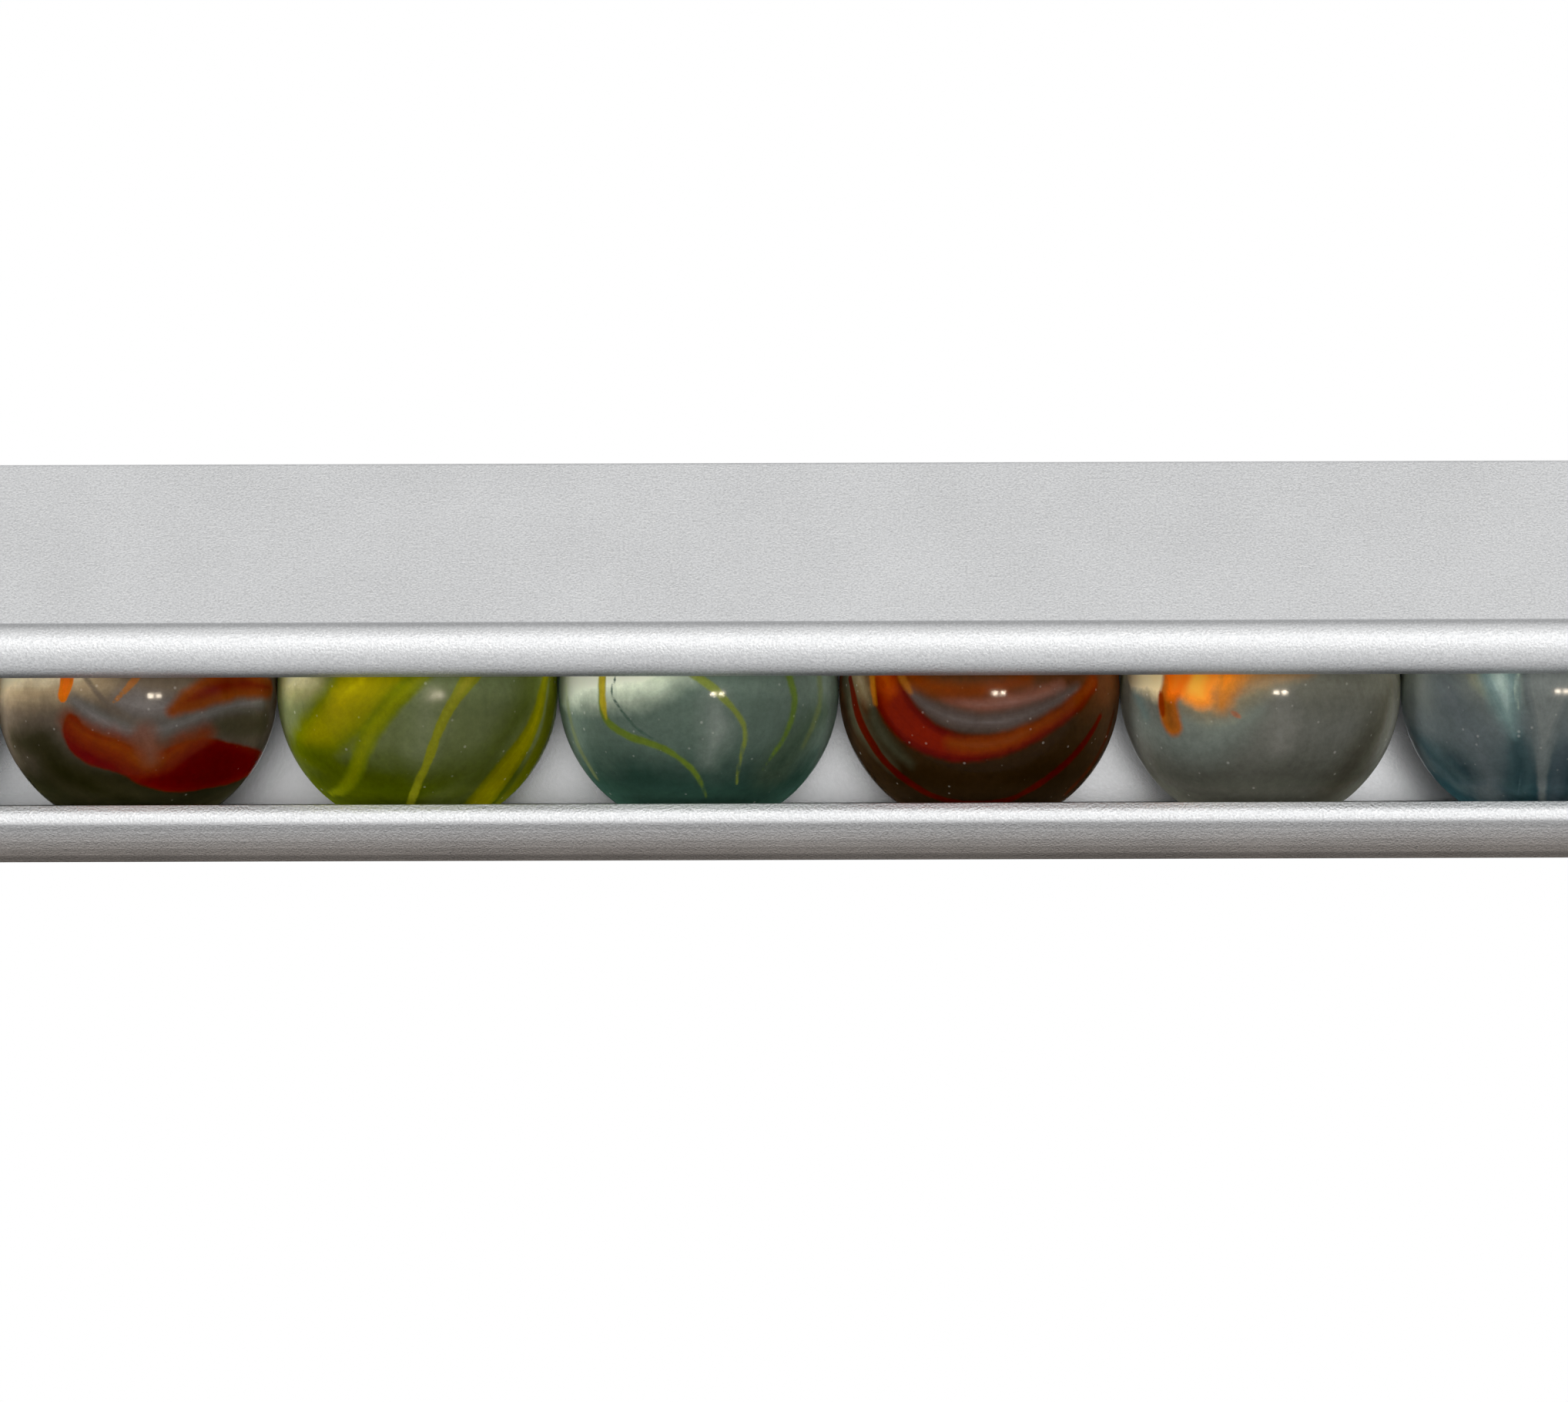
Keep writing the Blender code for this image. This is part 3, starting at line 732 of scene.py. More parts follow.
# Painted shade: the crease above the bead, a line under the bead and the lip's low edge are
# darkened where shade falls, and a thin dark line is painted along the lip below its nose.
crease_shade = dark_line_mask(bead_meets(HOOD_OUTER, BEAD_RADIUS) + CREASE_OFF, 0.65, 0.2, 0.30)
shade_under_bead = dark_line_mask(BEAD - [0, BEAD_RADIUS], 1.15, 0.45, 0.45)
lip_dark_line = dark_line_mask(NOSE - [0, LIP_DARK_LINE_DROP], 0.36, 0.1, 0.16)
edge = dark_line_mask(CORNER + [UNDER_CORNER, 0], 0.5, 0.1, 0.25)
painted_darkening = maths(tree, "MAXIMUM", maths(tree, "MAXIMUM", crease_shade, shade_under_bead),
              maths(tree, "MAXIMUM", lip_dark_line, edge))
axis = node(tree, "SeparateXYZ", {0: place}).outputs
# Painted warm reflection: the lip's low front is tinted warm, as if it mirrored something warm low
# in front.
low = ramp(tree, axis["Z"], UNDERSIDE_Z + WARM_REFLECTION_RISE, UNDERSIDE_Z)
front = ramp(tree, axis["Y"], WARM_REFLECTION_DEPTH - CORNER[0], -CORNER[0])
warm_reflection = mixed(tree, maths(tree, "MULTIPLY", low, front), WHITE, WARM_REFLECTION)
darkened_and_tinted = mixed(tree, 1.0, skin, mixed(tree, painted_darkening, warm_reflection, BLACK), "MULTIPLY")
tree.links.new(darkened_and_tinted, shader.inputs["Base Color"])
shader.inputs["Metallic"].default_value = 1.0
coated([channel], aluminium)
print("aluminium", len(tree.nodes), "nodes")

# %% [markdown]
# ## The end caps
#
# Each end is closed by a black moulded cap. Its flange follows the channel's outer shape with a
# margin, and its rim is rounded over ring by ring. A plug reaches inside and keeps the marbles
# in. The two screw holes are countersunk.

# %% Measure and draw the caps
CAP_MARGIN = 0.4 * MM
CAP_FLANGE = 2.0 * MM
CAP_ROUND = 0.35 * MM
CAP_STEPS = 5
CAP_SHARP = 40
PLUG_GAP = 0.3 * MM
PLUG_ROUND = 0.5 * MM
PLUG_STEPS = 3
CAP_HOLE = [(0, 1.0), (1.65, 1.0), (1.65, 0), (0.95, -0.9), (0.95, -3.0), (0, -3.0)]


def flange_outline():
    """The channel's outer shape, a margin larger but for its back."""
    low, high = -CAP_MARGIN, RAIL_HEIGHT + CAP_MARGIN
    hood, edge = HOOD_OUTER + CAP_MARGIN, EDGE_RADIUS + CAP_MARGIN
    bead_radius, nose_radius = BEAD_RADIUS + CAP_MARGIN, NOSE_RADIUS + CAP_MARGIN
    rise = BEAD - NOSE
    lean = math.acos((bead_radius - nose_radius) / np.linalg.norm(rise))
    tangent = math.atan2(rise[1], rise[0]) - lean
    bead_top = bead_meets(hood, bead_radius)
    brow = np.array([hood_at(high, hood), high])
    base, top = np.array([0, low]), np.array([0, high])
    return np.concatenate([
        rounded(base, top, np.array([CORNER[0], low]), edge),
        arc(CORNER, UNDER_CORNER + CAP_MARGIN, -math.pi / 2, -CORNER_TURN),
        arc(UNDER, UNDER_RADIUS + CAP_MARGIN, -CORNER_TURN, -LIP_TURN)[1:],
        arc(NOSE, nose_radius, -LIP_TURN, tangent)[1:],
        arc(BEAD, bead_radius, tangent, angle_about(BEAD, bead_top)),
        rounded(brow, bead_top, top, edge),
        rounded(top, brow, base, edge),
    ])


def plug_outline():
    """The part that enters the channel, clear of its walls and ports, with eased corners."""
    rear = PORT_INSET + PORT_RADIUS + PLUG_GAP
    front = LIP[0] - LIP_RADIUS - PLUG_GAP
    lift = PLUG_GAP / math.cos(RAMP_ANGLE)
    ceiling = RAIL_HEIGHT - TOP_WALL - PLUG_GAP
    hood = HOOD_INNER - PLUG_GAP
    under_hood = MARBLE[1] + (hood - (front - MARBLE[0]) * hood_out[0]) / hood_out[1]
    rear_floor = FLOOR_WALL + (MARBLE[0] - rear) * math.tan(RAMP_ANGLE) + lift
    corners = np.array([
        (rear, rear_floor), (MARBLE[0], FLOOR_WALL + lift), (front, FLOOR_WALL + lift),
        (front, under_hood), (hood_at(ceiling, hood), ceiling), (rear, ceiling)])
    before, after = np.roll(corners, 1, axis=0), np.roll(corners, -1, axis=0)
    return np.concatenate([rounded(corner, first, last, PLUG_ROUND)
                           for corner, first, last in zip(corners, before, after)])


def drawn_in(outline, distance):
    """An outline moved inwards along its normals, which are the runs turned by a quarter."""
    run = np.roll(outline, -1, axis=0) - np.roll(outline, 1, axis=0)
    normal = np.stack([-run[:, 1], run[:, 0]], axis=1) / np.linalg.norm(run, axis=1)[:, None]
    return outline + distance * normal


def rimmed(outline, stations, rounding, steps):
    """Rings with a quarter-round at both ends: drawn in r (1 - sin t), r (1 - cos t) deep."""
    t = np.linspace(0, math.pi / 2, steps + 1)
    low, high = stations
    ease = np.sign(high - low) * rounding * (1 - np.cos(t))
    rings = [along_rail(drawn_in(outline, rounding * (1 - math.sin(a))), [x])
             for a, x in zip([*t, *t[::-1]], [*(low + ease), *(high - ease[::-1])])]
    return np.concatenate(rings)


# %% [markdown]
# A cap is its flange, from the channel's end to the cap's face, joined with the plug, which
# starts inside the flange and ends at the tip.

# %% Make the caps
caps = {}
for side, label in ((-1, "left"), (1, "right")):
    low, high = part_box(f"end_cap_{label}")
    tip, face = (high.x, low.x) if side < 0 else (low.x, high.x)
    seat = face - side * CAP_FLANGE
    middle = (seat + face) / 2
    flange = rimmed(flange_outline(), (seat, face), CAP_ROUND, CAP_STEPS)
    plug = rimmed(plug_outline(), (tip, middle), PLUG_ROUND / 2, PLUG_STEPS)
    cap = skinned(f"cap_{label}", flange, CAP_SHARP)
    cut(cap, skinned("plug", plug, CAP_SHARP), "UNION")
    for centre in PORTS.values():
        drilled(cap, CAP_HOLE, (face, -centre[0], centre[1] + UNDERSIDE_Z), (side, 0, 0))
    sharpened(cap.data, CAP_SHARP)
    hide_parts(f"end_cap_{label}")
    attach(cap, "rail")
    caps[label] = cap
print("cap", len(caps["left"].data.polygons), "faces")

# %% [markdown]
# The caps and the screws take the same grain as the channel, at other sizes and depths.

# %% Finish the caps
def grained_material(name, settings, strength, depth, metallic=0.0):
    """A material that is all one grain."""
    material, tree, shader = new_material(name)
    colour = lay_grain(tree, shader, settings, strength, depth)
    tree.links.new(colour, shader.inputs["Base Color"])
    shader.inputs["Metallic"].default_value = metallic
    return material


plastic = grained_material("moulded_black", {
    "Size": 0.22, "Colour": (0.028, 0.029, 0.031, 1), "Contrast": 0.5, "Roughness": 0.46,
    "Sparkle": 0.08}, strength=0.5, depth=0.03)
coated(caps.values(), plastic)
print("plastic on", len(caps), "caps")

# %% [markdown]
# ## The cap screws
#
# Four small zinc-plated screws hold the caps. Their thread is a turned surface whose radius
# also depends on the angle: a triangle wave that climbs by one pitch in each turn. The thread
# stays inside the port's bore. The cross recess is a tapered cross that is cut into the head.
# All the sizes here are in millimetres.

# %% Turn the screws
SHANK = 0.7
THREAD = 0.15
THREAD_PITCH = 0.6
THREAD_START = 0.4
THREAD_RUN = 0.5
THREAD_WIDTH = 0.55
HEAD = 1.4
HEAD_DEPTH = 0.9
HEAD_ROUND = 0.1
SCREW_LENGTH = 9.5
SCREW_POINT = 1.4
SCREW_SHARP = 35
CROSS_ARM = 0.85
CROSS_HALF = 0.2
CROSS_LEVELS = [(0.3, 1.12), (0, 1.0), (-0.55, 0.55)]
SCREW_SIDES = 40
THREAD_RINGS = 150


def screw_rings(centre, axis):
    """A head's profile, then a shank whose radius is core + ridge * triangle(h / pitch - a)."""
    t = np.linspace(math.pi / 2, 0, 5)
    rim = np.stack([HEAD - HEAD_ROUND * (1 - np.cos(t)), HEAD_ROUND * (np.sin(t) - 1)], axis=1)
    head = np.concatenate([[(0, 0), (0.45, 0), (0.9, 0)], rim, [(SHANK, -HEAD_DEPTH)]])
    depth = np.linspace(HEAD_DEPTH + 0.05, SCREW_LENGTH, THREAD_RINGS)[:, None]
    taper = np.clip((SCREW_LENGTH - depth) / SCREW_POINT, 0, 1)
    a = np.linspace(0, 1, SCREW_SIDES, endpoint=False)
    wave = 2 * np.abs(((depth / THREAD_PITCH - a) % 1) - 0.5)
    begun = np.clip((depth - HEAD_DEPTH - THREAD_START) / THREAD_RUN, 0, 1)
    ridge = THREAD * begun * np.clip(1 - wave / THREAD_WIDTH, 0, 1)
    shank = (SHANK + ridge) * np.sqrt(taper)
    stem = (np.array(centre) - depth[..., None] * np.array(axis)
            + shank[..., None] * circle_about(axis, SCREW_SIDES))
    return np.concatenate([turned_rings(head, centre, axis, SCREW_SIDES), stem])


def cross_rings(centre, axis):
    """A plus-shaped outline that shrinks towards the bottom of the recess."""
    quarter = np.array([(CROSS_ARM, -CROSS_HALF), (CROSS_ARM, CROSS_HALF),
                        (CROSS_HALF, CROSS_HALF)])
    quarter_turn = np.array([[0, 1], [-1, 0]])
    plus = np.concatenate([quarter @ np.linalg.matrix_power(quarter_turn, k) for k in range(4)])
    u, v = square_to(axis)
    flat = plus[:, :1] * u + plus[:, 1:] * v
    return np.stack([np.array(centre) + h * np.array(axis) + share * flat
                     for h, share in CROSS_LEVELS])


screws = []
for side, label in ((-1, "left"), (1, "right")):
    for level, centre in PORTS.items():
        name = f"cap_screw_{label}_{level}"
        low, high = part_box(name)
        top = np.array([low.x if side < 0 else high.x, (low.y + high.y) / 2,
                        (low.z + high.z) / 2]) / MM
        screw = skinned(f"screw_{label}_{level}", screw_rings(top, (side, 0, 0)) * MM)
        cut(screw, skinned("cross", cross_rings(top, (side, 0, 0)) * MM))
        sharpened(screw.data, SCREW_SHARP)
        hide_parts(name)
        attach(screw, "rail")
        screws.append(screw)
print("screw", len(screws[0].data.polygons), "faces")

# %% Finish the screws
steel = grained_material("zinc_plated_steel", {
    "Size": 0.3, "Colour": (0.62, 0.61, 0.58, 1), "Contrast": 0.3, "Roughness": 0.3,
    "Sparkle": 0.1}, strength=0.3, depth=0.01, metallic=1.0)
coated(screws, steel)
print("steel on", len(screws), "screws")

# %% [markdown]
# ## The marbles
#
# A glass marble is dropped from a molten rod with ribbons of other colours laid into it, and
# the cut and the roll fold those ribbons into swirls. A ball is easy; the swirls are the work.
# Here each ribbon is a curve drawn on the ball's front, in millimetres right of and above the
# ball's centre, with a half-width at each point. For every point of the mesh the script works
# out how far it lies from the curve, less the half-width, and stores that as an attribute. The
# material then turns distances into ribbons with soft or crisp edges, finer than the mesh.

# %% Make a ball
BALL_RADIUS = 8.09
BALL_RINGS = 112
FRONT_ARC = math.radians(58)
FRONT_BELOW = 0.35
FRONT_ABOVE = 0.25
FRONT_STEPS = 104
BACK_STEPS = 40
NEAR_RIM = 0.995


def ball_rings(centre):
    """A sphere with its poles along X: x = r cos p, and r sin p round it, finer in front."""
    p = np.linspace(0, math.pi, BALL_RINGS + 1)
    low, high = -FRONT_ARC - FRONT_BELOW, FRONT_ARC - FRONT_ABOVE
    fine = np.linspace(low, high, FRONT_STEPS, endpoint=False)
    coarse = np.linspace(high, 2 * math.pi + low, BACK_STEPS, endpoint=False)
    a = np.concatenate([fine, coarse])
    x = np.cos(p)[:, None] * np.ones(len(a))
    y = -np.sin(p)[:, None] * np.cos(a)
    z = np.sin(p)[:, None] * np.sin(a)
    return np.array(centre) + BALL_RADIUS * MM * np.stack([x, y, z], axis=-1)


# %% [markdown]
# The curve between the given points is a Catmull-Rom spline, which passes through each of
# them, and it is laid on the ball by giving each point the depth of the sphere there.


# %% Measure distances to a ribbon
CURVE_STEPS = 6


def smooth_path(points):
    """Catmull-Rom: each stretch is a cubic through its two ends, leaning on their neighbours."""
    p = np.asarray(points, float)
    p = np.concatenate([2 * p[:1] - p[1:2], p, 2 * p[-1:] - p[-2:-1]])
    t = np.linspace(0, 1, CURVE_STEPS, endpoint=False)[:, None, None]
    a, b, c, d = p[:-3], p[1:-2], p[2:-1], p[3:]
    cubic = 0.5 * (2 * b + (c - a) * t + (2 * a - 5 * b + 4 * c - d) * t ** 2
                   + (3 * b - a - 3 * c + d) * t ** 3)
    return np.concatenate([cubic.transpose(1, 0, 2).reshape(-1, p.shape[1]), p[-2:-1]])


def on_ball(path):
    """A path's points (x, z) laid on the ball's front: y = -sqrt(r^2 - x^2 - z^2)."""
    flat = path[:, :2]
    away = np.linalg.norm(flat, axis=1, keepdims=True)
    flat = flat * np.minimum(1, NEAR_RIM * BALL_RADIUS / np.maximum(away, 1e-9))
    depth = -np.sqrt(BALL_RADIUS ** 2 - (flat ** 2).sum(axis=1))
    return np.stack([flat[:, 0], depth, flat[:, 1]], axis=1)


def distance_to_ribbon(places, points):
    """Distance from each place to the nearest stretch of a ribbon, less its half-width there."""
    path = smooth_path(points)
    line, half = on_ball(path), path[:, 2]
    start, run = line[:-1], line[1:] - line[:-1]
    offset = places[:, None] - start
    t = np.clip((offset * run).sum(-1) / (run ** 2).sum(-1), 0, 1)
    away = np.linalg.norm(offset - t[..., None] * run, axis=-1)
    return (away - half[:-1] - t * (half[1:] - half[:-1])).min(axis=1)


# %% [markdown]
# Six groups of colours lie in the photographed stretch. Each glass is described by the body's
# tones from top to bottom, then by its ribbons from the deepest to the topmost: the curve, the
# colours of its edge and its core, how soft its edge is, and how much it hides. Some ribbons
# are not glass: the pale patches at the upper left are painted light, the dark bands low down
# and on the right are painted shade, and the soft patches in the middle are a painted
# reflection.

# %% Describe the orange glass
ORANGE = {"body": ((92, 80, 66), (76, 67, 56), (28, 27, 14)), "ribbons": [
    # Painted light: the pale patch at the upper left.
    ("painted_glow", [(-7.5, 0.9, 1.0), (-5.5, 0.9, 1.1), (-3.8, 0.8, 0.8), (-2.2, 0.8, 0.4)],
     (140, 122, 94), (210, 200, 170), 1.4, 0.95),
    # Painted shade: the dark band low down.
    ("painted_low_shade", [(-7.0, -2.8, 0.4), (-5.2, -3.3, 1.1), (-4.2, -4.6, 1.3), (-1.0, -6.1, 1.1),
     (3.0, -6.7, 0.8), (6.4, -5.2, 0.4)], (38, 35, 21), (28, 27, 13), 1.1, 0.92),
    # Painted reflection: the soft grey patch in the middle.
    ("haze", [(-0.8, -0.6, 0.4), (0.4, -0.8, 0.7), (1.7, -0.9, 0.5)],
     (92, 86, 82), (120, 114, 110), 0.7, 0.9),
    ("veil", [(-3.6, -0.5, 0.3), (-2.4, -1.4, 0.5), (-1.0, -2.1, 0.45), (0.4, -2.3, 0.5),
     (1.5, -2.1, 0.4), (2.8, -1.7, 0.35), (4.2, -1.2, 0.4), (5.6, -0.8, 0.45), (7.1, -0.6, 0.5)],
     (82, 78, 73), (112, 108, 106), 0.45, 0.9),
    ("lower_ribbon", [(-3.7, -1.7, 0.4), (-3.5, -2.5, 0.75), (-2.7, -3.2, 1.0), (-1.6, -3.6, 0.95),
     (-0.4, -4.0, 0.9), (0.8, -4.5, 1.1), (2.1, -4.5, 1.5), (3.4, -4.3, 1.75), (4.7, -4.3, 1.5),
     (5.9, -4.3, 1.2), (6.8, -4.2, 0.8)], (86, 12, 0), (78, 4, 0), 0.2, 0.98),
    # Painted shade: the dark patch on the right.
    ("moss", [(4.6, -1.9, 0.3), (5.8, -2.0, 0.6), (7.2, -1.9, 0.6)],
     (58, 54, 38), (53, 48, 32), 0.6, 0.9),
    ("flame", [(-3.9, -1.6, 0.3), (-3.3, -2.2, 0.5), (-2.2, -2.8, 0.6), (-1.0, -3.2, 0.7),
     (0.4, -4.0, 0.8), (1.6, -3.8, 0.6), (2.6, -3.1, 0.5), (3.8, -2.5, 0.4)],
     (98, 34, 1), (114, 54, 10), 0.8, 0.85),
    ("blush", [(0.4, -2.5, 0.5), (0.7, -3.2, 0.5), (0.8, -3.8, 0.3)],
     (98, 60, 42), (106, 74, 62), 0.8, 0.85),
    ("upper_ribbon", [(2.0, -1.1, 0.25), (2.8, -0.6, 0.5), (3.8, -0.1, 0.75), (5.0, 0.3, 0.85),
     (6.2, 0.4, 0.7), (7.6, 0.2, 0.5)], (112, 52, 8), (90, 12, 0), 0.4, 0.96),
    ("bar", [(-3.9, 1.4, 0.42), (-4.0, 0.5, 0.4), (-4.15, -0.05, 0.36), (-4.2, -0.3, 0.3)],
     (172, 88, 6), (190, 84, 0), 0.08, 0.97),
    ("thin", [(0.3, 1.2, 0.2), (-0.1, 0.7, 0.17), (-0.7, 0.0, 0.13), (-1.3, -0.6, 0.08)],
     (130, 84, 40), (150, 66, 12), 0.08, 0.9),
    ("crack", [(-2.9, 0.8, 0.1), (-2.4, 0.1, 0.12), (-1.8, -0.6, 0.12), (-1.0, -1.2, 0.14)],
     (84, 74, 64), (52, 46, 42), 0.14, 0.8),
]}
print("orange", len(ORANGE["ribbons"]), "ribbons")

# %% Describe the olive glass
OLIVE = {"wear": 0.17, "body": ((90, 98, 64), (84, 90, 55), (56, 64, 7)), "ribbons": [
    # Painted reflection: the soft patch in the middle.
    ("painted_mist_reflection", [(0.3, -0.4, 0.6), (0.5, -1.7, 0.9), (0.2, -3.2, 0.6)],
     (92, 98, 68), (103, 107, 82), 1.2, 0.8),
    ("field", [(6.7, 1.3, 1.2), (6.2, -0.8, 1.0), (4.3, -3.4, 0.6), (3.2, -5.2, 0.8),
     (1.5, -6.4, 0.8)], (70, 77, 32), (60, 68, 12), 1.1, 0.85),
    ("rim_field", [(7.85, 0.9, 0.8), (7.7, -0.8, 0.8), (7.2, -2.8, 0.8), (6.1, -4.9, 0.8),
     (4.8, -6.4, 0.6)], (74, 77, 8), (72, 76, 1), 0.35, 0.95),
    # Painted light: the pale patch at the upper left.
    ("pale", [(-7.2, 0.9, 1.2), (-6.3, 0.7, 1.0), (-5.7, 0.4, 0.5)],
     (124, 121, 80), (178, 172, 132), 1.1, 0.95),
    ("broad", [(-2.2, 1.2, 2.0), (-3.0, 0.2, 1.9), (-4.1, -1.0, 1.7), (-5.4, -2.2, 1.45),
     (-6.4, -3.0, 1.0)], (88, 94, 4), (120, 114, 0), 0.8, 0.97),
    # Painted light: the brighter top of the yellow band.
    ("bright", [(-2.9, 1.2, 0.4), (-3.2, 0.5, 0.6), (-4.1, -0.2, 0.6), (-4.6, -0.9, 0.4)],
     (132, 122, 2), (172, 156, 12), 0.8, 0.9),
    ("shade", [(-7.0, -3.4, 0.6), (-5.5, -4.0, 0.8), (-3.9, -5.3, 0.8)],
     (66, 74, 2), (51, 60, 2), 1.2, 0.92),
    ("edge", [(0.4, 1.0, 0.45), (-1.0, -0.3, 0.5), (-2.0, -1.4, 0.5), (-3.0, -3.0, 0.48),
     (-3.6, -4.6, 0.38), (-4.3, -5.6, 0.28), (-5.0, -5.9, 0.12)],
     (92, 99, 8), (118, 119, 6), 0.3, 0.92),
    ("line", [(3.3, 1.2, 0.5), (2.9, 0.6, 0.45), (2.0, -0.7, 0.3), (1.25, -2.1, 0.26),
     (0.6, -3.9, 0.22), (0.0, -5.3, 0.22), (-0.5, -6.6, 0.2)],
     (106, 108, 18), (132, 126, 30), 0.1, 0.95),
    ("right", [(7.4, 1.2, 0.3), (7.25, 0.4, 0.38), (6.85, -1.4, 0.55), (6.05, -3.1, 0.8),
     (4.75, -4.9, 1.0), (3.6, -6.4, 1.1)], (92, 92, 2), (116, 110, 1), 0.25, 0.95),
]}
print("olive", len(OLIVE["ribbons"]), "ribbons")

# %% Describe the teal glass
TEAL = {"body": ((88, 101, 90), (76, 89, 79), (35, 56, 47)), "ribbons": [
    # Painted light: the pale patch at the upper left.
    ("painted_glow", [(-7.4, 1.0, 1.15), (-5.5, 1.0, 1.3), (-3.6, 1.0, 1.15), (-2.1, 1.0, 0.5),
     (-0.9, 1.1, 0.05)], (184, 192, 170), (244, 246, 222), 1.5, 0.97),
    # Painted reflection: the soft patch in the middle.
    ("painted_mist_reflection", [(0.9, -1.0, 0.7), (1.1, -2.2, 0.9), (0.8, -3.2, 0.5), (0.5, -4.0, 0.2)],
     (92, 102, 93), (124, 130, 123), 1.0, 0.9),
    # Painted shade: the darker lower right.
    ("painted_side_shade", [(7.0, -1.4, 0.5), (5.6, -3.0, 0.9), (4.4, -4.5, 0.9)],
     (60, 73, 57), (42, 60, 46), 1.3, 0.8),
    ("rim_line", [(-7.6, 0.2, 0.15), (-7.4, -1.4, 0.18), (-6.9, -3.2, 0.2), (-5.9, -5.0, 0.15)],
     (92, 100, 62), (100, 106, 58), 0.25, 0.6),
    ("left_line", [(-5.45, 1.2, 0.26), (-5.5, -0.8, 0.22), (-5.1, -1.9, 0.2), (-3.8, -2.7, 0.2),
     (-2.3, -3.2, 0.18), (-1.1, -3.9, 0.15), (-0.1, -4.9, 0.11), (0.5, -6.3, -0.04)],
     (82, 98, 28), (104, 116, 8), 0.14, 0.92),
    ("gold", [(-5.45, 1.4, 0.24), (-5.48, 0.2, 0.22), (-5.4, -1.0, 0.18), (-5.2, -1.8, 0.0)],
     (150, 136, 34), (190, 156, 20), 0.14, 0.9),
    ("middle_line", [(-0.5, 1.0, 0.2), (0.7, 0.2, 0.2), (1.6, -0.7, 0.16), (2.4, -1.7, 0.13),
     (2.65, -2.6, 0.12), (2.5, -3.4, 0.1), (2.3, -4.3, 0.07), (2.15, -5.4, 0.0)],
     (104, 114, 44), (136, 138, 34), 0.12, 0.88),
    ("right_line", [(5.0, 1.2, 0.24), (5.45, -0.3, 0.2), (5.35, -1.5, 0.17), (4.95, -2.6, 0.13),
     (4.3, -3.6, 0.07), (3.6, -4.6, -0.06)], (82, 102, 30), (104, 120, 12), 0.16, 0.85),
    ("far_line", [(6.9, 1.0, 0.22), (6.95, -0.6, 0.2), (6.6, -1.9, 0.17), (6.0, -3.2, 0.1)],
     (82, 92, 56), (94, 98, 44), 0.28, 0.7),
    ("crack", [(-4.6, 1.0, 0.05), (-4.93, -0.1, 0.06), (-4.5, -1.0, 0.06), (-3.5, -2.2, 0.05),
     (-2.2, -3.0, 0.03)], (58, 76, 66), (28, 44, 38), 0.08, 0.95),
]}
print("teal", len(TEAL["ribbons"]), "ribbons")

